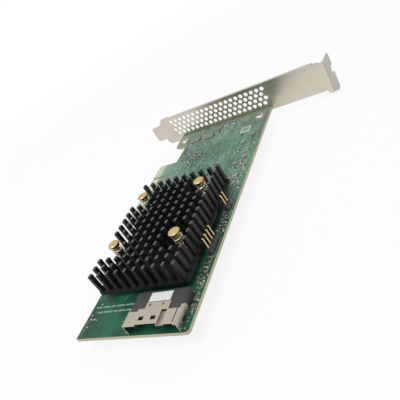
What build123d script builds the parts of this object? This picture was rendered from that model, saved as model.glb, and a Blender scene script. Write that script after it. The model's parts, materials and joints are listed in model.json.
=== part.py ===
from build123d import *
from math import cos, pi, sin
import os

# Low-profile storage controller card with a vented full-height bracket, in millimetres.
# X runs along the board from its bracket end, Y from the foot of the edge fingers to the
# board's top edge, and Z up from the board's solder side, out of its component side. The
# files are written from the middle of the key slot, the datum of a card's edge connector.

# Sides that stand for a full circle where a round form repeats, so that the card stays light
drum_side_count = 12
head_side_count = 24
vent_side_count = 10
wire_side_count = 5
spring_steps_per_turn = 12

# Board
board_length = 155.65
board_height = 68.9
board_thickness = 1.57
board_corner_radius = 1.6
body_foot_y = 13.1
hook_length = 13.4
hook_foot_y = 4.7
hook_corner_radius = 0.8

# Edge fingers, placed from the middle of the key slot
key_centre_x = 44.9
key_width = 1.9
key_depth = 11.8
short_tab_length = 11.65
long_tab_length = 38.65
tab_corner = 1.0
bevel_height = 1.1
bevel_depth = 0.4
contact_pitch = 1.0
contact_width = 0.7
contact_foot_y = 1.2
contact_top_y = 5.7
contact_thickness = 0.05
contact_from_key = 1.5
short_tab_contacts = 11
long_tab_contacts = 38

# Bracket sheet: an upright plate with a tongue below, a screw tab above and a stiffening rim
sheet = 0.86
board_gap = 0.4
bracket_width = 18.42
bracket_length = 120.02
tongue_tip_y = -13.82
tongue_width = 10.19
tongue_above_foot = 4.28
tongue_corner_radius = 1.6
shoulder_y = -7.1
low_shoulder_cut = 1.9
high_shoulder_run = 3.8
high_shoulder_rise = 3.6
rim_depth = 3.1
rim_start_y = 3.6
rim_from_tab = 6.9
rim_gap = 1.0
rim_gap_depth = 1.2
bend_inside_radius = 0.4
tab_shelf_drop = 1.9
tab_shelf_length = 3.9
tab_reach = 11.43
tab_width = 21.59
tab_rise = 1.1
tab_corner_cut = 1.2
wing_root_drop = 2.1
wing_length = 4.5
wing_slope_run = 6.5
screw_slot_width = 4.42
screw_slot_depth = 3.7
screw_slot_centre = 9.4

# Vents, a honeycomb of round holes
vent_radius = 1.3
vent_pitch = 3.46
vent_row_step = 3.0
vent_rows = 4
vent_columns = 20
vent_first_y = 2.1
vent_top_drop = 4.05

# Ears and screws that hold the bracket to the board
ear_length = 13.6
ear_width = 8.6
ear_corner_radius = 1.5
ear_boss_radius = 2.2
ear_boss_height = 0.9
screw_x = 9.5
screw_low_y = 10.9
screw_high_inset = 5.0
screw_radius = 1.4
screw_hole_radius = 1.6
screw_tap_clearance = 0.02
screw_head_radius = 2.6
screw_head_height = 1.6
screw_head_chamfer = 0.5
screw_recess_width = 0.7
screw_recess_length = 2.8
screw_recess_depth = 0.8

# Controller chip, its carrier fitted between the push pins
carrier_clearance = 3.4
substrate_height = 1.3
die_length = 13.0
die_width = 11.0
die_height = 0.8
pad_margin = 1.0
pad_height = 0.2

# Heat sink, fitted between the board's foot, the headers and the cable connector
sink_length = 63.6
sink_foot_clearance = 3.1
sink_header_clearance = 1.93
sink_tail_clearance = 2.15
sink_base_height = 1.6
sink_top_z = 14.77
sink_corner = 0.8
fin_rows = 15
fin_columns = 10
fin_edge_x = 0.38
fin_edge_y = 0.81
fin_length = 2.1
fin_width = 1.5
fin_taper = 0.15

# Push pins and their springs
pin_from_sink_end = 10.15
pin_from_sink_foot = 4.3
pin_from_sink_top = 8.9
pin_hole_radius = 1.6
pin_shank_radius = 1.45
pin_head_radius = 2.7
pin_head_height = 1.2
pin_head_dome = 0.3
pin_head_top_z = 15.0
pin_barb_radius = 2.0
pin_barb_height = 2.0
pin_tip_radius = 0.7
pin_slit_width = 0.6
spring_radius = 2.15
spring_wire_radius = 0.28
spring_turns = 5.5
fin_free_reach = 6.0

# Pin headers along the top edge
header_pitch = 2.54
header_inset = 2.5
header_base_height = 2.54
header_base_corner = 0.5
header_pin_side = 0.64
header_pin_top = 8.54
header_pin_tail = 1.1
header_hole_radius = 0.5
activity_header_from_end = 65.45
activity_header_pins = 2
fan_header_from_end = 41.25
fan_header_pins = 4

# Cable connector at the free end: a moulded housing in a folded metal shell
mouth_inset = 0.35
shell_length = 6.5
shell_wall_length = 10.0
shell_sheet = 0.3
shell_width = 24.2
shell_height = 5.05
shell_right_inset = 2.9
channel_width = 2.6
channel_depth = 0.7
channel_from_right = 7.0
shell_strap_length = 3.8
shell_strap_width = 11.4
shell_step_length = 1.1
shell_step_width = 3.0
dimple_radius = 0.45
dimple_depth = 0.15
dimple_from_back = 1.2
dimples_from_left = (1.9, 8.1)
lip_notch_depth = 0.75
lip_notch_width = 9.6
lip_notch_from_left = 6.1
latch_window_length = 1.8
latch_window_width = 2.3
latch_window_from_front = 3.2
latch_windows_from_left = (7.6, 13.3)
relief_slit_width = 0.4
relief_slit_from_right = 0.9
relief_slit_end = 0.6
guide_tooth_length = 0.9
guide_tooth_width = 1.4
rear_wall_corner = 1.6
rear_wall_foot_length = 1.9
rear_wall_foot_height = 0.8
wall_window_length = 3.0
wall_window_height = 1.3
wall_window_z = 0.5
shell_leg_length = 1.4
shell_leg_depth = 2.3
shell_leg_slot_clearance = 0.2
shell_legs_from_front = (1.6, 7.3)
housing_length = 9.8
housing_side_gap = 0.05
housing_front_gap = 0.1
housing_rear_chamfer = 0.5
plug_slot_width = 22.4
plug_slot_height = 1.5
plug_slot_depth = 5.5
plug_slot_z = 1.6
plug_contact_pitch = 0.6
plug_contact_count = 37
plug_contact_width = 0.26
plug_contact_height = 0.15
plug_contact_length = 4.6
tail_length = 1.3
tail_height = 0.2
connector_label_length = 4.3
connector_label_width = 10.3
connector_label_from_strap = 0.5
label_thickness = 0.1

# Small parts on the component side, as middles in plan; a turned part lies along Y. X runs
# from the bracket end, or back from the free end where it is negative, and Y from the foot
# of the fingers, or down from the top edge where it is negative
capacitor_size = (1.6, 0.8, 0.8)
capacitor_end = 0.35
capacitors = (
    (5.6, 39.4, False), (5.6, 41.2, False), (5.8, 45.6, False), (8.1, 36.4, True), (26.4, 20.2, False),
    (30.7, 17.4, True), (32.6, 17.4, True), (30.9, 20.8, True), (30.4, 25.6, False), (32.8, 26.4, True),
    (34.8, 25.4, True), (36.6, 23.8, False), (33.8, 29.8, True), (48.2, 46.0, True), (45.4, -6.3, True),
    (53.6, -6.0, False), (-93.65, -17.3, True), (-90.45, -2.7, False), (-91.75, -9.8, False),
    (-87.25, 25.8, True), (-87.25, -20.7, True), (-61.65, -4.0, False), (-59.45, -2.2, False),
    (-57.25, -3.6, False), (-55.45, -2.0, True), (-53.35, -3.4, False), (-50.45, -4.0, False),
    (-34.85, -1.4, False), (-32.15, -1.5, False), (-29.65, -2.9, True), (-27.05, -1.6, False),
    (-23.95, -1.5, False), (-24.45, -4.3, False), (-21.85, -3.4, True), (-20.65, -1.0, False),
    (-19.25, -2.8, True), (-16.45, -1.1, False), (-13.55, -1.3, True), (-11.05, -1.7, False),
    (-8.55, -1.0, False), (-8.65, 18.5, True),
)
resistor_size = (1.6, 0.8, 0.45)
resistor_end = 0.3
resistors = (
    (20.6, 16.2, True), (22.4, 16.2, True), (24.2, 16.2, True), (35.0, 20.4, False), (35.0, 22.0, False),
    (9.9, 36.6, True), (11.6, 37.2, True), (24.0, -12.6, True), (25.6, -12.6, True), (40.6, -13.1, False),
    (40.6, -11.3, False), (57.4, -8.4, True), (30.0, 31.6, True), (31.8, 31.6, True), (-59.65, -4.5, False),
    (-55.15, -4.2, False), (-52.65, -1.6, False), (-50.35, -1.9, True), (-33.65, -3.7, False),
    (-31.35, -3.4, False), (-27.25, -3.8, False), (-25.55, -1.4, True), (-10.05, 16.0, False),
)
bulk_capacitor_size = (2.0, 1.25, 0.9)
bulk_capacitor_end = 0.4
bulk_capacitors = ((57.6, -3.4, False), (42.8, -4.9, False), (15.2, 46.8, True), (-90.25, -5.4, False))
inductor_side = 3.0
inductor_height = 1.2
inductor_corner = 0.8
inductors = ((49.4, -5.2), (34.2, -9.6))
regulator_side = 2.6
regulator_height = 0.8
regulators = ((53.8, -9.6), (27.6, -5.4))
memory_length = 4.4
memory_width = 6.2
memory_height = 1.2
memory_chamfer = 0.2
memory_lead_pitch = 1.0
memory_lead_count = 4
memory_lead_size = (0.9, 0.4, 0.2)
memories = ((12.9, 20.2), (13.5, 30.2))
crystal_length = 3.2
crystal_width = 2.5
crystal_height = 0.8
crystal_lid_height = 0.15
crystal_lid_margin = 0.25
crystals = ((-92.45, -13.7), (-89.65, 33.0))
led_size = (1.6, 0.8, 0.6)
leds = ((3.4, 17.0), (3.4, 19.6), (3.4, 22.2))
board_label_length = 5.6
board_label_width = 6.0
board_label_place = (19.1, -12.3)

# Small parts on the solder side, in the field under the chip
back_capacitor_size = (1.0, 0.5, 0.5)
back_capacitor_pitch = 3.0
back_capacitor_rows = 4
back_capacitor_columns = 5

# Places that follow from the sizes above
top_z = board_thickness
plate_in_x = -board_gap
plate_out_x = plate_in_x - sheet
plate_low_z = -sheet
plate_high_z = plate_low_z + bracket_width
tab_top_y = tongue_tip_y + bracket_length
rim_end_y = tab_top_y - rim_from_tab
tab_shelf_start_y = tab_top_y - tab_shelf_length
wing_start_y = tab_top_y - wing_length
tab_high_z = plate_high_z - tab_shelf_drop
tab_low_z = tab_high_z - tab_width
tab_end_x = plate_in_x - tab_reach
wing_root_z = plate_low_z - wing_root_drop
screw_ys = (screw_low_y, board_height - screw_high_inset)
key_low_x = key_centre_x - key_width / 2
key_high_x = key_centre_x + key_width / 2
tab_start_x = key_low_x - short_tab_length
tab_stop_x = key_high_x + long_tab_length
header_y = board_height - header_inset
headers = {
    "activity": (board_length - activity_header_from_end, activity_header_pins),
    "fan": (board_length - fan_header_from_end, fan_header_pins),
}
mouth_x = board_length - mouth_inset
shell_back_x = mouth_x - shell_length
shell_high_y = board_height - shell_right_inset
shell_low_y = shell_high_y - shell_width
shell_walls = ((shell_low_y, shell_low_y + shell_sheet), (shell_high_y - shell_sheet, shell_high_y))
shell_top_z = top_z + shell_height
housing_front_x = shell_back_x - housing_front_gap
housing_back_x = housing_front_x - housing_length
housing_top_z = shell_top_z - shell_sheet
shell_middle_y = (shell_low_y + shell_high_y) / 2
channel_low_y = shell_high_y - channel_from_right - channel_width / 2
channel_high_y = channel_low_y + channel_width
strap_high_y = channel_high_y + shell_sheet
strap_low_y = strap_high_y - shell_strap_width
strap_back_x = shell_back_x - shell_strap_length
sink_high_x = housing_back_x - tail_length - sink_tail_clearance
sink_low_x = sink_high_x - sink_length
sink_high_y = header_y - header_pitch / 2 - sink_header_clearance
sink_low_y = body_foot_y + sink_foot_clearance
sink_width = sink_high_y - sink_low_y
sink_low_z = top_z + substrate_height + die_height + pad_height
sink_floor_z = sink_low_z + sink_base_height
sink_middle = ((sink_low_x + sink_high_x) / 2, (sink_low_y + sink_high_y) / 2)
fin_pitch_x = (sink_length - 2 * fin_edge_x - fin_length) / (fin_rows - 1)
fin_pitch_y = (sink_width - 2 * fin_edge_y - fin_width) / (fin_columns - 1)
pin_spacing = sink_width - pin_from_sink_foot - pin_from_sink_top
pin_low_x = sink_low_x + pin_from_sink_end
pin_low_y = sink_low_y + pin_from_sink_foot
pin_places = [(pin_low_x + i * pin_spacing, pin_low_y + j * pin_spacing) for i in (0, 1) for j in (0, 1)]
chip_middle = (pin_low_x + pin_spacing / 2, pin_low_y + pin_spacing / 2)
substrate_side = pin_spacing - 2 * carrier_clearance


def block(x, y, z):
    """Return a box between three pairs of limits."""
    limits = (x, y, z)
    size = [high - low for low, high in limits]
    return Pos(*[low for low, _ in limits]) * Box(*size, align=(Align.MIN, Align.MIN, Align.MIN))


def slab(middle, size, floor_z):
    """Return a box that stands on a level, centred on a place in plan."""
    return Pos(middle[0], middle[1], floor_z) * Box(*size, align=(Align.CENTER, Align.CENTER, Align.MIN))


def drum(place, radius, low_z, high_z, sides=drum_side_count):
    """Return an upright round post or bore between two levels."""
    return Pos(place[0], place[1], low_z) * extrude(RegularPolygon(radius, sides), high_z - low_z)


def outline(*points):
    """Return the face inside a closed run of straight lines."""
    return make_face(Polyline(*points, close=True))


def save(name, *solids):
    """Write the solids of one node to its file, from the middle of the key slot."""
    solids = [Pos(-key_centre_x, 0, 0) * solid for solid in solids]
    whole = solids[0] if len(solids) == 1 else Compound(children=solids)
    whole.label = name
    export_step(whole, f"parts/{name}.step")


def spot(place):
    """Return a small part's middle from the bracket end and the foot of the fingers."""
    x, y = place[0], place[1]
    return (x if x > 0 else board_length + x, y if y > 0 else board_height + y)


def header_pins(middle_x, count):
    """Return the places of the pins of one header."""
    first = middle_x - header_pitch * (count - 1) / 2
    return [(first + header_pitch * i, header_y) for i in range(count)]


def leg_places():
    """Return the middles of the shell's legs in plan."""
    middles = [(low + high) / 2 for low, high in shell_walls]
    return [(mouth_x - back, y) for back in shell_legs_from_front for y in middles]


def circuit_board():
    """Board with its hook, key slot and bevelled finger tabs, drilled for all that passes through."""
    plan = outline(
        (0, hook_foot_y), (hook_length, hook_foot_y), (hook_length, body_foot_y),
        (tab_start_x, body_foot_y), (tab_start_x, tab_corner), (tab_start_x + tab_corner, 0),
        (tab_stop_x - tab_corner, 0), (tab_stop_x, tab_corner), (tab_stop_x, body_foot_y),
        (board_length, body_foot_y), (board_length, board_height), (0, board_height),
    )
    hook_corner = plan.vertices().sort_by_distance((hook_length, hook_foot_y, 0))[0]
    plan = fillet(hook_corner, hook_corner_radius)
    free_corner = plan.vertices().sort_by_distance((board_length, board_height, 0))[0]
    plan = fillet(free_corner, board_corner_radius)
    key_middle = key_depth - key_width / 2
    plan -= Pos(key_centre_x, key_middle / 2) * Rectangle(key_width, key_middle)
    plan -= Pos(key_centre_x, key_middle) * Circle(key_width / 2)
    board = extrude(plan, board_thickness)
    for face_z, inward in ((board_thickness, -1), (0, 1)):
        wedge = outline((0, face_z + inward * bevel_depth), (0, face_z), (bevel_height, face_z))
        board -= extrude(Plane.YZ.offset(tab_start_x) * wedge, tab_stop_x - tab_start_x)
    through = (0, board_thickness)
    board -= [drum(place, pin_hole_radius, *through) for place in pin_places]
    board -= [drum((screw_x, y), screw_hole_radius, *through) for y in screw_ys]
    for middle_x, count in headers.values():
        board -= [drum(place, header_hole_radius, *through) for place in header_pins(middle_x, count)]
    slot = [shell_leg_length + shell_leg_slot_clearance, shell_sheet + shell_leg_slot_clearance]
    board -= [slab(place, (*slot, board_thickness), 0) for place in leg_places()]
    return board


def edge_contacts(floor_z):
    """Row of contact pads on one face of the finger tabs."""
    first = [key_centre_x - contact_from_key - contact_pitch * i for i in range(short_tab_contacts)]
    second = [key_centre_x + contact_from_key + contact_pitch * i for i in range(long_tab_contacts)]
    length = contact_top_y - contact_foot_y
    size = (contact_width, length, contact_thickness)
    return [slab((x, contact_foot_y + length / 2), size, floor_z) for x in first + second]


def vents():
    """Holes of the honeycomb, as cutters along X."""
    cutter = extrude(Plane.YZ * RegularPolygon(vent_radius, vent_side_count), 4 * sheet, both=True)
    cutters = []
    for row in range(vent_rows):
        shift = (row % 2) / 2
        z = plate_high_z - vent_top_drop - vent_row_step * row
        for column in range(vent_columns - row % 2):
            y = vent_first_y + vent_pitch * (column + shift)
            cutters.append(Pos(plate_out_x, y, z) * cutter)
    return cutters


def bracket_plate():
    """Flat plate with its tongue and shoulders, short of the two folds along its edges."""
    tongue_low_z = plate_low_z + tongue_above_foot
    tongue_high_z = tongue_low_z + tongue_width
    rim_root_z = plate_high_z - rim_gap_depth
    plate = outline(
        (tongue_tip_y, tongue_low_z), (shoulder_y, tongue_low_z),
        (shoulder_y, plate_low_z + low_shoulder_cut), (shoulder_y + low_shoulder_cut, plate_low_z),
        (wing_start_y, plate_low_z),
        (wing_start_y + sheet, wing_root_z), (tab_top_y - tab_rise - sheet, wing_root_z),
        (tab_top_y - tab_rise - sheet, tab_high_z), (tab_shelf_start_y, tab_high_z),
        (tab_shelf_start_y - rim_gap, rim_root_z), (rim_end_y, rim_root_z), (rim_start_y, rim_root_z),
        (rim_start_y - rim_gap, rim_root_z), (rim_start_y - 2 * rim_gap, plate_high_z),
        (shoulder_y + high_shoulder_run, plate_high_z), (shoulder_y, plate_high_z - high_shoulder_rise),
        (shoulder_y, tongue_high_z), (tongue_tip_y, tongue_high_z),
    )
    tip = plate.vertices().group_by(Axis.X)[0]
    plate = fillet(tip, tongue_corner_radius)
    return extrude(Plane.YZ.offset(plate_out_x) * plate, sheet)


def bracket_rim():
    """Fold along the plate's long edge that turns back over the card."""
    root_z = plate_high_z - 2 * rim_gap_depth
    rim_end_x = plate_out_x + rim_depth
    section = outline(
        (plate_out_x, root_z), (plate_out_x, plate_high_z), (rim_end_x, plate_high_z),
        (rim_end_x, plate_high_z - sheet), (plate_in_x, plate_high_z - sheet), (plate_in_x, root_z),
    )
    outside = section.vertices().sort_by_distance((plate_out_x, plate_high_z, 0))[0]
    section = fillet(outside, bend_inside_radius + sheet)
    inside = section.vertices().sort_by_distance((plate_in_x, plate_high_z - sheet, 0))[0]
    section = fillet(inside, bend_inside_radius)
    return Pos(0, rim_end_y, 0) * extrude(Plane.XZ * section, rim_end_y - rim_start_y)


def bracket_tab():
    """Screw tab folded away from the card, with its wing and its open screw slot."""
    root_y = tab_top_y - tab_rise - 2 * sheet
    end_y = tab_top_y
    bend_y = tab_top_y - tab_rise
    under_y = bend_y - sheet + sheet * tab_rise / tab_reach
    section = outline(
        (plate_in_x, root_y), (plate_in_x, bend_y), (tab_end_x, end_y), (tab_end_x, end_y - sheet),
        (plate_out_x, under_y), (plate_out_x, root_y),
    )
    outside = section.vertices().sort_by_distance((plate_in_x, bend_y, 0))[0]
    section = fillet(outside, bend_inside_radius + sheet)
    inside = section.vertices().sort_by_distance((plate_out_x, under_y, 0))[0]
    section = fillet(inside, bend_inside_radius)
    tab = Pos(0, 0, tab_low_z) * extrude(section, tab_width)
    cut_y = (root_y - sheet, end_y + sheet)
    wing_x = plate_out_x - wing_slope_run
    beyond_x = plate_in_x + sheet
    beyond_z = tab_low_z - sheet
    wing_cut = outline(
        (beyond_x, beyond_z), (beyond_x, wing_root_z), (plate_out_x, wing_root_z), (wing_x, tab_low_z),
        (wing_x, beyond_z),
    )
    corner_cut = outline(
        (tab_end_x, tab_high_z - tab_corner_cut), (tab_end_x + tab_corner_cut, tab_high_z),
        (tab_end_x, tab_high_z),
    )
    for cut in (wing_cut, corner_cut):
        tab -= Pos(0, cut_y[1], 0) * extrude(Plane.XZ * cut, cut_y[1] - cut_y[0])
    slot_z = tab_high_z - screw_slot_centre
    slot_root_x = tab_end_x + screw_slot_depth - screw_slot_width / 2
    half = screw_slot_width / 2
    tab -= block((tab_end_x - sheet, slot_root_x), cut_y, (slot_z - half, slot_z + half))
    return tab - Pos(slot_root_x, end_y, slot_z) * Rot(90, 0, 0) * Cylinder(half, 4 * sheet + 2 * tab_rise)


def bracket_ear(y):
    """Ear under the board with the drawn boss that the bracket screw threads into."""
    middle_x = (plate_out_x + ear_length) / 2
    ear = slab((middle_x, y), (ear_length - plate_out_x, ear_width, sheet), -sheet)
    ear = fillet(ear.edges().filter_by(Axis.Z).group_by(Axis.X)[-1], ear_corner_radius)
    return ear + drum((screw_x, y), ear_boss_radius, -sheet - ear_boss_height, -sheet)


def bracket():
    """One folded sheet: plate, rim, tab and ears."""
    whole = bracket_plate() + bracket_rim() + bracket_tab() + [bracket_ear(y) for y in screw_ys]
    whole -= vents()
    tapped = screw_radius + screw_tap_clearance
    return whole - [drum((screw_x, y), tapped, -sheet - ear_boss_height, 0) for y in screw_ys]


def bracket_screw(y):
    """Pan-head screw from the component side into the ear's boss."""
    place = (screw_x, y)
    head_top = top_z + screw_head_height
    head = drum(place, screw_head_radius, top_z, head_top)
    head = chamfer(head.edges().group_by(Axis.Z)[-1], screw_head_chamfer)
    screw = head + drum(place, screw_radius, -sheet - ear_boss_height, top_z)
    recess_z = head_top - screw_recess_depth
    arms = ((screw_recess_length, screw_recess_width), (screw_recess_width, screw_recess_length))
    return screw - [slab(place, (*arm, screw_recess_depth), recess_z) for arm in arms]


def fin_places():
    """Return the middles of the pin fins, leaving room round each push pin."""
    places = []
    for row in range(fin_rows):
        for column in range(fin_columns):
            x = sink_middle[0] + fin_pitch_x * (row - (fin_rows - 1) / 2)
            y = sink_middle[1] + fin_pitch_y * (column - (fin_columns - 1) / 2)
            if all(max(abs(x - a), abs(y - b)) > fin_free_reach for a, b in pin_places):
                places.append((x, y))
    return places


def heat_sink():
    """Anodised base with a field of square pin fins and four holes for the push pins."""
    base = slab(sink_middle, (sink_length, sink_width, sink_base_height), sink_low_z)
    base = chamfer(base.edges().filter_by(Axis.Z), sink_corner)
    fin_height = sink_top_z - sink_floor_z
    fin = extrude(Rectangle(fin_length, fin_width), fin_height, taper=fin_taper)
    base += [Pos(x, y, sink_floor_z) * fin for x, y in fin_places()]
    return base - [drum(place, pin_hole_radius, sink_low_z, sink_floor_z) for place in pin_places]


def controller_chip():
    """Chip carrier on the board with the bare die on it."""
    carrier = slab(chip_middle, (substrate_side, substrate_side, substrate_height), top_z)
    die = slab(chip_middle, (die_length, die_width, die_height), top_z + substrate_height)
    return carrier + die


def thermal_pad():
    """Soft pad between the die and the heat sink."""
    size = (die_length - pad_margin, die_width - pad_margin, pad_height)
    return slab(chip_middle, size, sink_low_z - pad_height)


def push_pin(place):
    """Headed pin with a split barb that snaps under the board."""
    head_low = pin_head_top_z - pin_head_height
    head = drum((0, 0), pin_head_radius, head_low, pin_head_top_z, head_side_count)
    head = chamfer(head.edges().group_by(Axis.Z)[-1], pin_head_dome)
    tip = Pos(0, 0, -pin_barb_height) * RegularPolygon(pin_tip_radius, drum_side_count)
    barb = loft([tip, RegularPolygon(pin_barb_radius, drum_side_count)])
    pin = head + drum((0, 0), pin_shank_radius, 0, head_low) + barb
    slit_height = pin_barb_height + board_thickness / 2
    pin -= slab((0, 0), (3 * pin_barb_radius, pin_slit_width, slit_height), -pin_barb_height)
    return Pos(place[0], place[1], 0) * pin


def push_pin_spring(place):
    """Coil spring round the shank, between the heat sink's base and the pin's head."""
    low = sink_floor_z + spring_wire_radius
    rise = pin_head_top_z - pin_head_height - spring_wire_radius - low
    steps = round(spring_steps_per_turn * spring_turns)
    places = []
    for i in range(steps + 1):
        angle = 2 * pi * i / spring_steps_per_turn
        places.append((spring_radius * cos(angle), spring_radius * sin(angle), rise * i / steps))
    path = Polyline(*places)
    start = Plane(origin=path @ 0, z_dir=path % 0)
    wire = start * RegularPolygon(spring_wire_radius, wire_side_count)
    return Pos(place[0], place[1], low) * sweep(wire, path=path, transition=Transition.RIGHT)


def header_base(middle_x, count):
    """Moulded strip, nicked between its pins."""
    cell = slab((0, 0), (header_pitch, header_pitch, header_base_height), top_z)
    cell = chamfer(cell.edges().filter_by(Axis.Z), header_base_corner)
    strip = [Pos(x, y, 0) * cell for x, y in header_pins(middle_x, count)]
    bores = [
        slab(place, (header_pin_side, header_pin_side, header_base_height), top_z)
        for place in header_pins(middle_x, count)
    ]
    return strip[0] + strip[1:] - bores


def header_pin(place):
    """Square pin through the strip and the board."""
    length = header_pin_tail + top_z + header_pin_top
    pin = slab(place, (header_pin_side, header_pin_side, length), -header_pin_tail)
    return chamfer(pin.edges().group_by(Axis.Z)[-1], header_pin_side / 4)


def shell_section(inset):
    """Outline of the shell across the card, drawn in from its outer face."""
    low_y, high_y = shell_low_y + inset, shell_high_y - inset
    roof_z = shell_top_z - inset
    channel_y = (channel_low_y - inset, channel_high_y + inset)
    channel_z = roof_z - channel_depth
    return outline(
        (low_y, top_z), (low_y, roof_z), (channel_y[0], roof_z), (channel_y[0], channel_z),
        (channel_y[1], channel_z), (channel_y[1], roof_z), (high_y, roof_z), (high_y, top_z),
    )


def connector_shell():
    """Folded metal shell: roof with a pressed channel, strap, two walls and legs into the board."""
    section = shell_section(0) - shell_section(shell_sheet)
    shell = extrude(Plane.YZ.offset(shell_back_x) * section, shell_length)
    roof = (housing_top_z, shell_top_z)
    shell += block((strap_back_x, shell_back_x), (strap_low_y, strap_high_y), roof)
    step = (strap_low_y - shell_step_width, strap_low_y)
    shell += block((shell_back_x - shell_step_length, shell_back_x), step, roof)
    tooth = outline(
        (mouth_x, shell_high_y - guide_tooth_width), (mouth_x + guide_tooth_length, shell_high_y),
        (mouth_x, shell_high_y),
    )
    shell += Pos(0, 0, housing_top_z) * extrude(tooth, shell_sheet)
    shell += rear_walls()
    shell -= roof_cuts()
    window_x = (shell_back_x, shell_back_x + wall_window_length)
    window_z = (top_z + wall_window_z, top_z + wall_window_z + wall_window_height)
    shell -= block(window_x, (shell_low_y - shell_sheet, shell_high_y + shell_sheet), window_z)
    leg = (shell_leg_length, shell_sheet, shell_leg_depth)
    return shell + [slab(place, leg, top_z - shell_leg_depth) for place in leg_places()]


def rear_walls():
    """Return the shell's two side walls behind its roof, beside the housing."""
    rear_x = mouth_x - shell_wall_length
    foot_x = rear_x + rear_wall_foot_length
    foot_z = top_z + rear_wall_foot_height
    profile = outline(
        (rear_x, foot_z), (rear_x, housing_top_z - rear_wall_corner),
        (rear_x + rear_wall_corner, housing_top_z), (shell_back_x, housing_top_z), (shell_back_x, top_z),
        (foot_x, top_z), (foot_x, foot_z),
    )
    return [Pos(0, high, 0) * extrude(Plane.XZ * profile, shell_sheet) for _, high in shell_walls]


def roof_cuts():
    """Return the cutters of the lip, latch windows, relief slit and dimples of the shell's roof."""
    notch_y = shell_low_y + lip_notch_from_left
    roof = (housing_top_z, shell_top_z)
    cuts = [block((mouth_x - lip_notch_depth, mouth_x), (notch_y, notch_y + lip_notch_width), roof)]
    window = (latch_window_length, latch_window_width, shell_sheet)
    for from_left in latch_windows_from_left:
        cuts.append(slab((mouth_x - latch_window_from_front, shell_low_y + from_left), window, housing_top_z))
    slit_high_y = shell_high_y - relief_slit_from_right
    slit_y = (slit_high_y - relief_slit_width, slit_high_y)
    cuts.append(block((shell_back_x, mouth_x - relief_slit_end), slit_y, roof))
    for from_left in dimples_from_left:
        place = (strap_back_x + dimple_from_back, strap_low_y + from_left)
        cuts.append(drum(place, dimple_radius, shell_top_z - dimple_depth, shell_top_z))
    return cuts


def connector_housing():
    """Moulded body behind the shell, with the slot that takes the plug's blade."""
    side = shell_sheet + housing_side_gap
    body = block(
        (housing_back_x, housing_front_x), (shell_low_y + side, shell_high_y - side), (top_z, housing_top_z)
    )
    rear = body.edges().filter_by(Axis.Y).group_by(Axis.Z)[-1].sort_by(Axis.X)[0]
    body = chamfer(rear, housing_rear_chamfer)
    slot_z = top_z + plug_slot_z
    slot_y = (shell_middle_y - plug_slot_width / 2, shell_middle_y + plug_slot_width / 2)
    slot_x = (housing_front_x - plug_slot_depth, housing_front_x)
    return body - block(slot_x, slot_y, (slot_z, slot_z + plug_slot_height))


def connector_contacts():
    """Two rows of contacts in the slot and the row of tails soldered behind the housing."""
    first_y = shell_middle_y - plug_contact_pitch * (plug_contact_count - 1) / 2
    middle_x = housing_front_x - plug_slot_depth + plug_contact_length / 2
    size = (plug_contact_length, plug_contact_width, plug_contact_height)
    low_z = top_z + plug_slot_z
    high_z = low_z + plug_slot_height - plug_contact_height
    tail_x = housing_back_x - tail_length / 2
    tail = (tail_length, plug_contact_width, tail_height)
    solids = []
    for i in range(plug_contact_count):
        y = first_y + plug_contact_pitch * i
        solids += [slab((middle_x, y), size, z) for z in (low_z, high_z)]
        solids.append(slab((tail_x, y), tail, top_z))
    return solids


def connector_label():
    """Blank label behind the strap."""
    high_x = strap_back_x - connector_label_from_strap
    y = (strap_low_y, strap_low_y + connector_label_width)
    z = (housing_top_z, housing_top_z + label_thickness)
    return block((high_x - connector_label_length, high_x), y, z)


def chip_part(place, size, end, floor_z):
    """Return a two-ended small part as its body and its two metal ends."""
    length, width, height = size
    body = Box(length - 2 * end, width, height, align=(Align.CENTER, Align.CENTER, Align.MIN))
    cap = Box(end, width, height, align=(Align.CENTER, Align.CENTER, Align.MIN))
    turn = 90 if place[2] else 0
    seat = Pos(*spot(place), floor_z) * Rot(0, 0, turn)
    reach = (length - end) / 2
    return seat * body, [seat * Pos(-reach, 0, 0) * cap, seat * Pos(reach, 0, 0) * cap]


def chip_parts(places, size, end, floor_z):
    """Return the bodies and the metal ends of a set of small parts."""
    pairs = [chip_part(place, size, end, floor_z) for place in places]
    return [body for body, _ in pairs], [cap for _, caps in pairs for cap in caps]


def memory_chips():
    """Eight-lead packages: bodies and leads, each lead one strip that ends under the body."""
    lead_length, lead_width, lead_height = memory_lead_size
    size = (memory_length, memory_width, memory_height - lead_height)
    body = slab((0, 0), size, top_z + lead_height)
    body = chamfer(body.edges().group_by(Axis.Z)[-1], memory_chamfer)
    strip = slab((0, 0), (lead_width, memory_width + 2 * lead_length, lead_height), top_z)
    first = -memory_lead_pitch * (memory_lead_count - 1) / 2
    bodies, leads = [], []
    for place in memories:
        seat = Pos(*spot(place), 0)
        bodies.append(seat * body)
        leads += [seat * Pos(first + memory_lead_pitch * i, 0, 0) * strip for i in range(memory_lead_count)]
    return bodies, leads


def back_capacitors():
    """Grid of small capacitors on the solder side under the chip."""
    length, width, height = back_capacitor_size
    places = []
    for row in range(back_capacitor_rows):
        for column in range(back_capacitor_columns):
            x = chip_middle[0] + back_capacitor_pitch * (column - (back_capacitor_columns - 1) / 2)
            y = chip_middle[1] + back_capacitor_pitch * (row - (back_capacitor_rows - 1) / 2)
            places.append((x, y, False))
    return chip_parts(places, (length, width, height), length / 4, -height)


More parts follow.
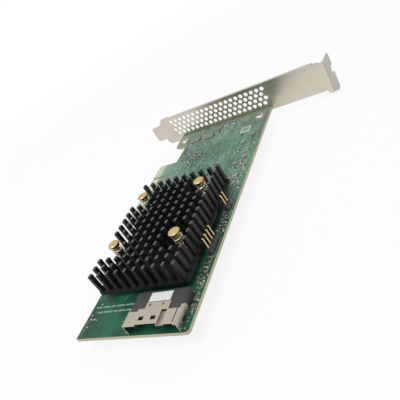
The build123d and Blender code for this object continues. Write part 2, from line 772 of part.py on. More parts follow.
def build():
    """Make every node and write its file."""
    save("circuit_board", circuit_board())
    save("edge_contacts_front", *edge_contacts(board_thickness))
    save("edge_contacts_back", *edge_contacts(-contact_thickness))
    save("bracket", bracket())
    save("bracket_screws", *[bracket_screw(y) for y in screw_ys])
    save("heat_sink", heat_sink())
    save("controller_chip", controller_chip())
    save("thermal_pad", thermal_pad())
    save("push_pins", *[push_pin(place) for place in pin_places])
    save("push_pin_springs", *[push_pin_spring(place) for place in pin_places])
    for name, (middle_x, count) in headers.items():
        save(f"{name}_header_base", header_base(middle_x, count))
        save(f"{name}_header_pins", *[header_pin(place) for place in header_pins(middle_x, count)])
    save("connector_shell", connector_shell())
    save("connector_housing", connector_housing())
    save("connector_contacts", *connector_contacts())
    save("connector_label", connector_label())
    families = {
        "capacitor": (capacitors, capacitor_size, capacitor_end),
        "resistor": (resistors, resistor_size, resistor_end),
        "bulk_capacitor": (bulk_capacitors, bulk_capacitor_size, bulk_capacitor_end),
    }
    for name, (places, size, end) in families.items():
        bodies, ends = chip_parts(places, size, end, top_z)
        save(f"{name}_bodies", *bodies)
        save(f"{name}_ends", *ends)
    bodies, ends = back_capacitors()
    save("back_capacitor_bodies", *bodies)
    save("back_capacitor_ends", *ends)
    inductor = slab((0, 0), (inductor_side, inductor_side, inductor_height), top_z)
    inductor = chamfer(inductor.edges().filter_by(Axis.Z), inductor_corner)
    save("power_inductors", *[Pos(*spot(place), 0) * inductor for place in inductors])
    regulator = (regulator_side, regulator_side, regulator_height)
    save("regulators", *[slab(spot(place), regulator, top_z) for place in regulators])
    bodies, leads = memory_chips()
    save("memory_bodies", *bodies)
    save("memory_leads", *leads)
    crystal = (crystal_length, crystal_width, crystal_height)
    save("crystal_cases", *[slab(spot(place), crystal, top_z) for place in crystals])
    lid = (crystal_length - crystal_lid_margin, crystal_width - crystal_lid_margin, crystal_lid_height)
    save("crystal_lids", *[slab(spot(place), lid, top_z + crystal_height) for place in crystals])
    save("indicator_leds", *[slab(spot(place), led_size, top_z) for place in leds])
    label = (board_label_length, board_label_width, label_thickness)
    save("board_label", slab(spot(board_label_place), label, top_z))


os.makedirs("parts", exist_ok=True)
build()
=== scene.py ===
"""Looks of a storage controller card: the finish of its pieces, its board's print, and the studio."""

import json
import logging
import math
from dataclasses import dataclass, field
from enum import Enum
from functools import cached_property
from typing import Any, Callable, Union

import bmesh
import bpy
from mathutils import Matrix, Vector

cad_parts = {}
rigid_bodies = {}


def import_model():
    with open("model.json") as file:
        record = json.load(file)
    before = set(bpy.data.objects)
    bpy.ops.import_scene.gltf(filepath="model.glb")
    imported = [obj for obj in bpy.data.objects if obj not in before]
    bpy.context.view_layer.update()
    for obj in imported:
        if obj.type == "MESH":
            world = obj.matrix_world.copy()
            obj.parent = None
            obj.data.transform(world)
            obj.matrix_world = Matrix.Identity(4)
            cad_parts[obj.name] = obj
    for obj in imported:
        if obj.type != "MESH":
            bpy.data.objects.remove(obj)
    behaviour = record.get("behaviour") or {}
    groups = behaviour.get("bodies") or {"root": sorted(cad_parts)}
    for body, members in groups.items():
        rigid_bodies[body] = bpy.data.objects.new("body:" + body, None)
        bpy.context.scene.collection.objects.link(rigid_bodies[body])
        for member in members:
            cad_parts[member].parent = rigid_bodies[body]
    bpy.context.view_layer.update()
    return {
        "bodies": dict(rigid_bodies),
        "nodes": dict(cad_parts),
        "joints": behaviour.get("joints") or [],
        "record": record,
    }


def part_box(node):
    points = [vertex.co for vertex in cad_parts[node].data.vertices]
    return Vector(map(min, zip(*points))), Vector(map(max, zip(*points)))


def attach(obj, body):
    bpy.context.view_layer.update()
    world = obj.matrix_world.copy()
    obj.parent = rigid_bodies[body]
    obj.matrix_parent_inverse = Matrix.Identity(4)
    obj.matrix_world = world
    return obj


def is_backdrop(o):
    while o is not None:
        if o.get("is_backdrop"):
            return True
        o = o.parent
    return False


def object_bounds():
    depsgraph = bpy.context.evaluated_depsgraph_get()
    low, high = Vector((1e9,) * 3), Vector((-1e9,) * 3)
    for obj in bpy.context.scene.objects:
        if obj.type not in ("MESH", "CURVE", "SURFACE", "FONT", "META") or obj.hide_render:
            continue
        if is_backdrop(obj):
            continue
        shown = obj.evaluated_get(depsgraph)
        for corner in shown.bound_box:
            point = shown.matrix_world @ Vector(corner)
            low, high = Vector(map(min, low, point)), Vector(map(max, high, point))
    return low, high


LOG = logging.getLogger("card")
MM = 0.001
ROOT = "root"

Number = Union[float, "Wire"]
Colour = tuple[float, float, float, float]
Place = tuple[float, float]
Box = tuple[Vector, Vector]


def rgb(red: float, green: float, blue: float) -> Colour:
    """Return an opaque colour."""
    return (red, green, blue, 1.0)


class Wire:
    """A socket of a node tree, with arithmetic that adds Math nodes."""

    def __init__(self, graph: "Graph", socket: bpy.types.NodeSocket) -> None:
        """Keep the socket and the tree that it belongs to."""
        self.graph = graph
        self.socket = socket

    def math(self, operation: str, *others: Number) -> "Wire":
        """Add a Math node.

        Args:
            operation: The Math node's operation.
            others: Values or wires for its further sockets.

        Returns:
            The node's result.
        """
        return self.graph.add("ShaderNodeMath", {"operation": operation}, dict(enumerate((self, *others))))

    def __add__(self, other: Number) -> "Wire":
        """Add a value."""
        return self.math("ADD", other)

    def __sub__(self, other: Number) -> "Wire":
        """Take a value away."""
        return self.math("SUBTRACT", other)

    def __rsub__(self, other: float) -> "Wire":
        """Take this from a number."""
        return self.math("MULTIPLY_ADD", -1.0, other)

    def __mul__(self, other: Number) -> "Wire":
        """Multiply by a value."""
        return self.math("MULTIPLY", other)

    def __gt__(self, limit: Number) -> "Wire":
        """Give 1 above a limit and 0 below it."""
        return self.math("GREATER_THAN", limit)

    def __lt__(self, limit: Number) -> "Wire":
        """Give 1 below a limit and 0 above it."""
        return self.math("LESS_THAN", limit)

    def __abs__(self) -> "Wire":
        """Drop the sign."""
        return self.math("ABSOLUTE")

    __radd__ = __add__
    __rmul__ = __mul__

    def most(self, other: Number) -> "Wire":
        """Return the greater of two values."""
        return self.math("MAXIMUM", other)

    def repeat(self, step: float) -> "Wire":
        """Return the distance to the middle of the nearest of evenly spaced bands."""
        return self.math("PINGPONG", step / 2)


class Graph:
    """The node tree of one material."""

    def __init__(self, name: str) -> None:
        """Start a material with its Principled shader.

        Args:
            name: The material's name.
        """
        self.material = bpy.data.materials.new(name)
        self.material.use_nodes = True
        self.tree = self.material.node_tree
        self.shader = self.tree.nodes["Principled BSDF"]
        self.place = self.add("ShaderNodeTexCoord", output="Object").scaled(1 / MM)

    def add(self, kind: str, settings: dict | None = None, inputs: dict | None = None,
            output: Any = 0) -> Any:
        """Add a node.

        Args:
            kind: The node's type.
            settings: Its properties.
            inputs: Values or wires for its sockets, by name or index.
            output: The output socket to return, by name or index.

        Returns:
            The output as a wire, or as a vector wire where it carries a vector or colour.
        """
        node = self.tree.nodes.new(kind)
        for name, value in (settings or {}).items():
            setattr(node, name, value)
        for name, value in (inputs or {}).items():
            self.feed(node.inputs[name], value)
        socket = node.outputs[output]
        return Wire(self, socket) if socket.type == "VALUE" else Span(self, socket)

    def feed(self, socket: bpy.types.NodeSocket, value: Any) -> None:
        """Set a socket to a value, or link a wire to it.

        Args:
            socket: The input socket.
            value: A plain value or a wire.
        """
        if isinstance(value, Wire):
            self.tree.links.new(value.socket, socket)
        else:
            socket.default_value = value

    def surface(self, **inputs: Any) -> None:
        """Feed the Principled shader, with each socket's name in lower case and underscores."""
        for name, value in inputs.items():
            self.feed(self.shader.inputs[name.replace("_", " ").title().replace("Ior", "IOR")], value)

    def mix(self, factor: Number, first: Any, second: Any) -> "Span":
        """Mix two colours.

        Args:
            factor: The share of the second colour.
            first: A colour or a colour wire.
            second: A colour or a colour wire.

        Returns:
            The mixed colour.
        """
        colour_a, colour_b, colour_result = 6, 7, 2
        inputs = {0: factor, colour_a: first, colour_b: second}
        return self.add("ShaderNodeMix", {"data_type": "RGBA"}, inputs, colour_result)

    def noise(self, size: float, detail: float = 2.0, vector: "Span | None" = None) -> Wire:
        """Return noise whose blotches are about so many millimetres across."""
        inputs = {"Vector": vector or self.place, "Scale": 1 / size, "Detail": detail}
        return self.add("ShaderNodeTexNoise", inputs=inputs)

    def cells(self, size: float, randomness: float, vector: "Span | None" = None,
              output: str = "Distance") -> Any:
        """Return a field of cells of so many millimetres."""
        inputs = {"Vector": vector or self.place, "Scale": 1 / size, "Randomness": randomness}
        return self.add("ShaderNodeTexVoronoi", inputs=inputs, output=output)

    def steps(self, value: Wire, low: float, high: float) -> Wire:
        """Return 0 below one limit and 1 above another, with a smooth rise between them."""
        inputs = {"Value": value, "From Min": low, "From Max": high}
        return self.add("ShaderNodeMapRange", {"interpolation_type": "SMOOTHSTEP"}, inputs)

    def bump(self, height: Wire, depth: float, strength: float = 1.0) -> "Span":
        """Return a normal raised by a height, whose full depth is in millimetres."""
        inputs = {"Height": height, "Distance": depth * MM, "Strength": strength}
        return self.add("ShaderNodeBump", inputs=inputs)

    def facing(self) -> "Span":
        """Return the surface's normal."""
        return self.add("ShaderNodeNewGeometry", output="Normal")


class WorldGraph(Graph):
    """The node tree of the world."""

    def __init__(self, world: bpy.types.World) -> None:
        """Keep the world's tree."""
        self.tree = world.node_tree


class Span(Wire):
    """A vector or colour socket."""

    def scaled(self, factor: float) -> "Span":
        """Multiply the vector by a number."""
        return self.graph.add("ShaderNodeVectorMath", {"operation": "SCALE"}, {0: self, "Scale": factor})

    def stretched(self, scale: tuple[float, float, float], turn: float = 0.0) -> "Span":
        """Turn the vector about Z and scale it along each axis.

        Args:
            scale: The factor for each axis.
            turn: The turn, in degrees.

        Returns:
            The turned and scaled vector.
        """
        turned = self.graph.add("ShaderNodeVectorRotate", {"rotation_type": "Z_AXIS"},
                                {"Vector": self, "Angle": math.radians(turn)})
        return self.graph.add("ShaderNodeVectorMath", {"operation": "MULTIPLY"}, {0: turned, 1: scale})

    def parts(self) -> tuple[Wire, Wire, Wire]:
        """Return the vector's three numbers."""
        first = self.graph.add("ShaderNodeSeparateXYZ", inputs={0: self})
        return tuple(Wire(self.graph, socket) for socket in first.socket.node.outputs)


@dataclass(frozen=True)
class Finish:
    """A surface finish, made once into a node material."""

    name: str
    colour: Colour

    def make(self) -> bpy.types.Material:
        """Build the finish.

        Returns:
            The finish as a material.
        """
        graph = Graph(self.name)
        self.paint(graph)
        return graph.material

    def paint(self, graph: Graph) -> None:
        """Add the finish's nodes."""
        raise NotImplementedError


@dataclass(frozen=True)
class PlatedMetal(Finish):
    """Plated or bare sheet and turned metal with faint streaks and handling marks."""

    roughness: float = 0.28
    streak: tuple[float, float, float] = (1.0, 1.0, 1.0)
    streak_size: float = 0.3
    mottle: float = 0.06
    mark_size: float = 9.0

    def paint(self, graph: Graph) -> None:
        """Add streaks along the rolling direction and broad, soft marks.

        Args:
            graph: The material's node tree.
        """
        streaks = graph.noise(self.streak_size, 3.0, graph.place.stretched(self.streak))
        marks = graph.noise(self.mark_size, 3.0)
        darker = tuple(part * (1 - 2.5 * self.mottle) for part in self.colour[:3]) + (1.0,)
        tone = graph.steps(marks * 0.6 + streaks * 0.4, 0.35, 0.65)
        roughness = marks * 0.12 + streaks * 0.1 + (self.roughness - 0.11)
        skin = self.with_painted_light_and_tint(graph, graph.mix(tone, darker, self.colour))
        graph.surface(base_color=skin, metallic=1.0, roughness=roughness, normal=graph.bump(streaks, 0.004))

    def with_painted_light_and_tint(self, graph: Graph, tone: Wire) -> Wire:
        """Return the tone as it is; subclasses add painted shade, painted reflection and tints to it."""
        return tone


@dataclass(frozen=True)
class FoldedShell(PlatedMetal):
    """Plated sheet, with painted shade down in its folded channel and in its pressed dimples."""

    # Colour of the painted shade in the channel and the dimples.
    shade: Colour = rgb(0.2, 0.14, 0.085)
    channel: Place = (57.7, 60.3)
    roof: float = 6.62
    channel_depth: float = 1.2
    dimple_x: float = 101.3
    dimples_y: Place = (51.1, 57.3)
    dimple_radius: float = 0.5

    def with_painted_light_and_tint(self, graph: Graph, tone: Wire) -> Wire:
        """Paint shade into the channel and the dimples.

        Args:
            graph: The material's node tree.
            tone: The colour of the plain sheet.

        Returns:
            The colour with its painted shade.
        """
        x, y, z = graph.place.parts()
        low, high = self.channel
        # Painted shade down in the folded channel, blotchy along it.
        channel_shade = (y > low) * (y < high) * (z < self.roof - 0.1) * (z > self.roof - self.channel_depth)
        shaded = channel_shade * graph.steps(graph.noise(1.2, 2.0), 0.2, 0.8) * 0.4 + channel_shade * 0.35
        # Painted shade in each pressed dimple.
        for dimple_y in self.dimples_y:
            away = (x - self.dimple_x).math("POWER", 2.0) + (y - dimple_y).math("POWER", 2.0)
            shaded = shaded.most((away < self.dimple_radius ** 2) * (z > self.roof - 0.3))
        return graph.mix(shaded, tone, self.shade)


@dataclass(frozen=True)
class BracketPlate(PlatedMetal):
    """Plated bracket sheet, with a painted reflection of the board along the middle of its length and
    painted shade on its folded tab and edges.
    """

    # Colour of the painted reflection of the board, a darker brown band on the plate.
    shade: Colour = rgb(0.7, 0.56, 0.43)
    # Colour of the painted shade on the folded tab and the sheared edges.
    tab_shade: Colour = rgb(0.42, 0.4, 0.365)
    middle: Place = (28.0, 68.0)
    fade: float = 9.0
    reflection_share: float = 0.75
    tab_shade_share: float = 0.9

    def with_painted_light_and_tint(self, graph: Graph, tone: Wire) -> Wire:
        """Paint the board's reflection on the plate behind it, and paint shade on the tab and the sheared
        edges.

        Args:
            graph: The material's node tree.
            tone: The colour of the plain sheet.

        Returns:
            The colour with its painted reflection and painted shade.
        """
        _, y, _ = graph.place.parts()
        across, along, _ = graph.facing().parts()
        low, high = self.middle
        above = graph.steps(y, low - self.fade, low + self.fade)
        # Painted reflection of the board: a darker brown band along the middle of the plate's broad faces.
        reflection_band = above * (1 - graph.steps(y, high - self.fade, high)) * (abs(across) > 0.5)
        reflected = graph.mix(reflection_band * self.reflection_share, tone, self.shade)
        # Painted shade on the faces that face along the plate: the folded tab and the sheared edges.
        return graph.mix((abs(along) > 0.6) * self.tab_shade_share, reflected, self.tab_shade)


@dataclass(frozen=True)
class EdgeContact(PlatedMetal):
    """Plated edge contacts, greener on the short tab where the mask closes in on them."""

    shade: Colour = rgb(0.68, 0.86, 0.66)
    short_tab_until: float = 0.0
    tint_from: Place = (1.0, 4.0)

    def with_painted_light_and_tint(self, graph: Graph, tone: Wire) -> Wire:
        """Tint the contacts of the short tab.

        Args:
            graph: The material's node tree.
            tone: The colour of the plain contacts.

        Returns:
            The colour with the tint.
        """
        x, y, _ = graph.place.parts()
        tinted = (x < self.short_tab_until) * graph.steps(y, *self.tint_from) * 0.85
        return graph.mix(tinted, tone, self.shade)


@dataclass(frozen=True)
class Anodised(Finish):
    """Black anodised aluminium, with the sawn ends of its pins painted paler as a highlight of light from
    above.
    """

    worn: Colour = rgb(0.02, 0.021, 0.021)
    # Paler colour of the pins' sawn tops: a painted highlight of light from above.
    lit_top: Colour = rgb(0.085, 0.087, 0.094)
    lit_top_above: float = 14.0

    def paint(self, graph: Graph) -> None:
        """Add a fine grain, broad variation, and the sawn ends with their saw marks, painted paler as a
        highlight of light from above.

        Args:
            graph: The material's node tree.
        """
        grain = graph.noise(0.12, 2.0)
        broad = graph.noise(5.0, 2.0)
        saw = graph.noise(0.2, 2.0, graph.place.stretched((0.3, 3.0, 1.0)))
        # Upward faces at the pins' tops: painted highlight of light from above, with saw marks.
        ends = (graph.place.parts()[2] > self.lit_top_above) * (graph.facing().parts()[2] > 0.5)
        skin = graph.mix(graph.steps(broad, 0.3, 0.7), self.colour, self.worn)
        cut = graph.mix(saw, self.lit_top, tuple(part * 0.6 for part in self.lit_top[:3]) + (1.0,))
        graph.surface(base_color=graph.mix(ends, skin, cut), roughness=grain * 0.1 + broad * 0.1 + 0.36,
                      specular_ior_level=0.32, normal=graph.bump(grain, 0.006))


@dataclass(frozen=True)
class Moulded(Finish):
    """Moulded plastic or resin with a fine spark-eroded grain."""

    roughness: float = 0.45
    grain: float = 0.15
    fleck: Colour = rgb(0.1, 0.1, 0.1)

    def paint(self, graph: Graph) -> None:
        """Add grain, faint flow marks and pale filler flecks.

        Args:
            graph: The material's node tree.
        """
        grain = graph.noise(self.grain, 2.0)
        flow = graph.noise(3.0, 2.0)
        flecks = graph.steps(graph.noise(0.05, 1.0), 0.68, 0.78) * 0.5
        tone = graph.mix(flow * 0.25 + flecks, self.colour, self.fleck)
        graph.surface(base_color=tone, roughness=flow * 0.12 + (self.roughness - 0.06),
                      normal=graph.bump(grain, 0.01))


@dataclass(frozen=True)
class SolderedTin(Finish):
    """Bright tin and solder, slightly frosted."""

    def paint(self, graph: Graph) -> None:
        """Add crystals and a wavy skin.

        Args:
            graph: The material's node tree.
        """
        crystals = graph.cells(0.12, 1.0)
        waves = graph.noise(0.4, 2.0)
        darker = tuple(part * 0.8 for part in self.colour[:3]) + (1.0,)
        graph.surface(base_color=graph.mix(crystals, self.colour, darker), metallic=1.0,
                      roughness=crystals * 0.2 + 0.22, normal=graph.bump(waves, 0.03))


@dataclass(frozen=True)
class Paper(Finish):
    """Blank paper label with a satin coat."""

    def paint(self, graph: Graph) -> None:
        """Add fibres.

        Args:
            graph: The material's node tree.
        """
        fibres = graph.noise(0.3, 4.0)
        darker = tuple(part * 0.94 for part in self.colour[:3]) + (1.0,)
        graph.surface(base_color=graph.mix(fibres, self.colour, darker), roughness=fibres * 0.2 + 0.45,
                      normal=graph.bump(fibres, 0.006))


@dataclass(frozen=True)
class PanelLabel(Paper):
    """Label with a dark, softly clouded panel inside a white border."""

    panel: Colour = rgb(0.2, 0.235, 0.2)
    cloud: Colour = rgb(0.42, 0.45, 0.39)
    middle: Place = (-25.8, 56.6)
    half: Place = (2.1, 2.35)

    def paint(self, graph: Graph) -> None:
        """Add the fibres, the panel and its cloudy print.

        Args:
            graph: The material's node tree.
        """
        x, y, _ = graph.place.parts()
        inside = (abs(x - self.middle[0]) < self.half[0]) * (abs(y - self.middle[1]) < self.half[1])
        patches = graph.steps(graph.noise(0.9, 2.0), 0.4, 0.65)
        print_tone = graph.mix(patches, self.panel, self.cloud)
        fibres = graph.noise(0.3, 4.0)
        graph.surface(base_color=graph.mix(inside, self.colour, print_tone), roughness=fibres * 0.2 + 0.45,
                      normal=graph.bump(fibres, 0.006))


@dataclass(frozen=True)
class Ink(Finish):
    """Screen-printed ink, thin and slightly patchy."""

    def paint(self, graph: Graph) -> None:
        """Add a patchy cover.

        Args:
            graph: The material's node tree.
        """
        patch = graph.noise(0.5, 3.0)
        darker = tuple(part * 0.72 for part in self.colour[:3]) + (1.0,)
        graph.surface(base_color=graph.mix(graph.steps(patch, 0.35, 0.6), darker, self.colour),
                      roughness=patch * 0.2 + 0.5, normal=graph.bump(patch, 0.004))


@dataclass(frozen=True)
class Fired(Finish):
    """Fired ceramic body."""

    def paint(self, graph: Graph) -> None:
        """Add the fine pores of pressed powder.

        Args:
            graph: The material's node tree.
        """
        pores = graph.noise(0.09, 3.0)
        darker = tuple(part * 0.75 for part in self.colour[:3]) + (1.0,)
        graph.surface(base_color=graph.mix(pores, self.colour, darker), roughness=pores * 0.2 + 0.32,
                      normal=graph.bump(pores, 0.008))


@dataclass(frozen=True)
class SolderMask(Finish):
    """Glass-fibre board under solder mask, with copper runs showing through it."""

    bare: Colour = rgb(0.01, 0.075, 0.04)
    copper: Colour = rgb(0.25, 0.42, 0.3)
    haze: Colour = rgb(0.088, 0.182, 0.13)
    pad: Colour = rgb(0.5, 0.52, 0.44)
    edge: Colour = rgb(0.6, 0.56, 0.38)
    pale: Colour = rgb(0.3, 0.37, 0.29)
    busy_until: float = 40.0
    pale_by_fingers: Place = (3.0, 20.0)
    pale_by_bracket: Place = (-42.0, 6.0)
    run_pitch: float = 0.85
    run_slant: float = 6.0
    bundle_pitch: float = 1.9
    bundle_slant: float = 5.0
    quiet_from: Place = (88.0, 96.0)
    via_pitch: float = 1.7
    via_drill: Colour = rgb(0.02, 0.07, 0.04)
    dark_edge: Colour = rgb(0.5, 0.48, 0.3)

    def runs(self, graph: Graph, turn: float) -> Wire:
        """Return parallel copper runs, at an angle in degrees to the board's length."""
        across = graph.place.stretched((1.0, 1.0, 1.0), turn).parts()[1]
        return 1 - graph.steps(across.repeat(self.run_pitch), 0.1, 0.22)

    def wide_runs(self, graph: Graph) -> Wire:
        """Draw broad bundles of runs, slanted to the board's length and broken into patches.

        Args:
            graph: The material's node tree.

        Returns:
            Where the bundles are.
        """
        across = graph.place.stretched((1.0, 1.0, 1.0), self.bundle_slant).parts()[1]
        wander = graph.noise(16.0, 1.0) * 1.5
        patch = graph.cells(13.0, 1.0, output="Color").parts()[1] > 0.3
        return graph.steps((across + wander).repeat(self.bundle_pitch), 0.36, 0.6) * patch

    def copper_runs(self, graph: Graph) -> Wire:
        """Draw bundles of runs, whose direction changes from one patch of the board to the next.

        Args:
            graph: The material's node tree.

        Returns:
            Where the runs are.
        """
        patch = graph.cells(9.0, 0.9, output="Color").parts()[0]
        along = self.runs(graph, 0.0) * (patch > 0.45) * (patch < 0.62)
        slanted = self.runs(graph, self.run_slant) * (patch > 0.62)
        across = self.runs(graph, 90.0) * (patch > 0.3) * (patch < 0.45)
        return (along + slanted + across).math("MINIMUM", 1.0)

    def paint(self, graph: Graph) -> None:
        """Add copper runs in bundles, fields of vias and the pale cut edge.

        Args:
            graph: The material's node tree.
        """
        x, y, _ = graph.place.parts()
        busy = 1 - graph.steps(x, self.busy_until - 15, self.busy_until + 10)
        quiet = graph.steps(x, *self.quiet_from)
        runs = self.copper_runs(graph) * (1 - quiet * 0.8)
        drawn_out = graph.place.stretched((0.08, 1.0, 1.0), self.bundle_slant)
        bundles = graph.steps(graph.noise(0.9, 2.0, drawn_out), 0.5, 0.62)
        broad = graph.noise(11.0, 3.0)
        mask = graph.mix(graph.steps(broad, 0.38, 0.62), self.colour, self.bare)
        hazy = graph.steps(graph.noise(6.0, 2.0), 0.3, 0.7) * 0.8 + 0.15
        mask = graph.mix(busy * hazy, mask, self.haze)
        by_fingers = 1 - graph.steps(y, *self.pale_by_fingers)
        by_bracket = 1 - graph.steps(x, *self.pale_by_bracket)
        mask = graph.mix((by_fingers * busy * 0.85).most(by_bracket * 0.24), mask, self.pale)
        mask = graph.mix(bundles * (busy * 0.4 + 0.02), mask, self.copper)
        mask = graph.mix(self.wide_runs(graph) * busy * 0.55, mask, self.copper)
        mask = graph.mix(runs * (busy * 0.35 + 0.1), mask, self.copper)
        dots = graph.cells(self.via_pitch, 0.9)
        vias = (dots < 0.24) * (graph.noise(5.0, 0.0) > 0.48) * (busy * 0.75 + 0.25) * (1 - quiet * 0.6)
        drills = (dots < 0.09) * vias
        mask = graph.mix(vias, mask, self.pad)
        mask = graph.mix(drills, mask, self.via_drill)
        flat = abs(graph.facing().parts()[2]) > 0.5
        weave = graph.noise(0.25, 3.0)
        edge = graph.mix(weave, self.edge, self.dark_edge)
        rise = runs * 0.5 + vias * 0.5 + weave * 0.1
        graph.surface(base_color=graph.mix(flat, edge, mask), roughness=weave * 0.15 + 0.34,
                      specular_ior_level=0.22, normal=graph.bump(rise, 0.03))


class Look(Enum):
    """The finishes of the card."""

    BOARD = SolderMask("solder_mask", rgb(0.013, 0.135, 0.07))
    GOLD = PlatedMetal("contact_gold", rgb(0.84, 0.63, 0.29), 0.26, streak_size=0.5)
    CONTACT = EdgeContact("edge_contact_gold", rgb(0.97, 0.9, 0.66), 0.38, streak_size=0.5, mottle=0.03)
    NICKEL = BracketPlate("bracket_nickel", rgb(0.7, 0.65, 0.545), 0.3, (2.5, 0.12, 2.5), 0.5, 0.04)
    SCREW = PlatedMetal("screw_steel", rgb(0.82, 0.75, 0.69), 0.48, mottle=0.06)
    BLACK = Anodised("heat_sink_black", rgb(0.009, 0.0095, 0.0095))
    RESIN = Moulded("package_resin", rgb(0.02, 0.02, 0.021))
    # Black chip resin painted pale grey all over: a painted sheen of the bright surroundings on the memory
    # chips and regulators.
    GREY_RESIN = Moulded("package_resin_painted_sheen", rgb(0.27, 0.265, 0.22), 0.5, 0.2, rgb(0.42, 0.42, 0.38))
    PAD = Moulded("thermal_pad_grey", rgb(0.4, 0.4, 0.42), 0.7)
    BRASS = PlatedMetal("push_pin_brass", rgb(0.74, 0.55, 0.26), 0.3, mottle=0.1)
    SPRING = PlatedMetal("spring_wire", rgb(0.62, 0.57, 0.46), 0.26)
    HEADER = Moulded("header_plastic", rgb(0.03, 0.03, 0.034), 0.4)
    SHELL = FoldedShell("shell_nickel", rgb(0.6, 0.54, 0.45), 0.32, (0.2, 2.0, 2.0), 0.4, 0.04)
    HOUSING = Moulded("housing_plastic", rgb(0.041, 0.042, 0.042), 0.42)
    LABEL = Paper("blank_label", rgb(0.88, 0.89, 0.87))
    PANEL = PanelLabel("panel_label", rgb(0.74, 0.77, 0.75))
    CAPACITOR = Fired("capacitor_ceramic", rgb(0.35, 0.28, 0.2))
    TINY = Fired("tiny_part_ceramic", rgb(0.36, 0.32, 0.24))
    CRYSTAL = Fired("crystal_ceramic", rgb(0.4, 0.37, 0.3))
    TIN = SolderedTin("soldered_tin", rgb(0.66, 0.67, 0.64))
    INDUCTOR = Moulded("inductor_powder", rgb(0.3, 0.32, 0.27), 0.55, 0.1, rgb(0.4, 0.42, 0.38))
    LAMP = Moulded("lamp_lens", rgb(0.6, 0.66, 0.46), 0.25)
    INK = Ink("white_ink", rgb(0.6, 0.68, 0.62))
    FAINT_INK = Ink("faint_ink", rgb(0.26, 0.43, 0.34))


@dataclass
class Wardrobe:
    """The materials of the card, each made when it is first asked for."""

    made: dict[Look, bpy.types.Material] = field(default_factory=dict)

    def get(self, look: Look) -> bpy.types.Material:
        """Find a finish's material, or make it.

        Args:
            look: The finish.

        Returns:
            The material.
        """
        if look not in self.made:
            self.made[look] = look.value.make()
        return self.made[look]

    def dress(self, piece: bpy.types.Object, look: Look) -> None:
        """Give a piece one finish all over.

        Args:
            piece: The piece to dress.
            look: Its finish.
        """
        piece.data.materials.clear()
        piece.data.materials.append(self.get(look))


NODE_LOOKS = {
    "circuit_board": Look.BOARD, "edge_contacts_front": Look.CONTACT, "edge_contacts_back": Look.CONTACT,
    "bracket": Look.NICKEL, "bracket_screws": Look.SCREW, "heat_sink": Look.BLACK,
    "controller_chip": Look.RESIN, "thermal_pad": Look.PAD, "push_pins": Look.BRASS,
    "push_pin_springs": Look.SPRING,
    "activity_header_base": Look.HEADER, "activity_header_pins": Look.GOLD, "fan_header_base": Look.HEADER,
    "fan_header_pins": Look.GOLD, "connector_shell": Look.SHELL, "connector_housing": Look.HOUSING,
    "connector_contacts": Look.GOLD, "connector_label": Look.LABEL, "capacitor_bodies": Look.CAPACITOR,
    "capacitor_ends": Look.TIN, "resistor_bodies": Look.RESIN, "resistor_ends": Look.TIN,
    "bulk_capacitor_bodies": Look.CAPACITOR, "bulk_capacitor_ends": Look.TIN,
    "back_capacitor_bodies": Look.CAPACITOR, "back_capacitor_ends": Look.TIN,
    "power_inductors": Look.INDUCTOR, "regulators": Look.GREY_RESIN, "memory_bodies": Look.GREY_RESIN,
    "memory_leads": Look.TIN,
    "crystal_cases": Look.CRYSTAL, "crystal_lids": Look.GOLD, "indicator_leds": Look.LAMP,
    "board_label": Look.PANEL,
}


def solids_of(node: bpy.types.Object) -> list[Box]:
    """Find the separate solids of a CAD node.

    Args:
        node: The node's object.

    Returns:
        The lowest and highest corner of each solid, in millimetres, in order of place.
    """
    shape = bmesh.new()
    shape.from_mesh(node.data)
    bmesh.ops.remove_doubles(shape, verts=shape.verts, dist=1e-6)
    left = set(shape.verts)
    boxes = []
    while left:
        queue = [left.pop()]
        found = []
        while queue:
            vertex = queue.pop()
            found.append(vertex.co / MM)
            for edge in vertex.link_edges:
                other = edge.other_vert(vertex)
                if other in left:
                    left.discard(other)
                    queue.append(other)
        low = Vector([min(co[axis] for co in found) for axis in range(3)])
        high = Vector([max(co[axis] for co in found) for axis in range(3)])
        boxes.append((low, high))
    shape.free()
    return sorted(boxes, key=lambda box: tuple(round(part, 3) for part in box[0]))


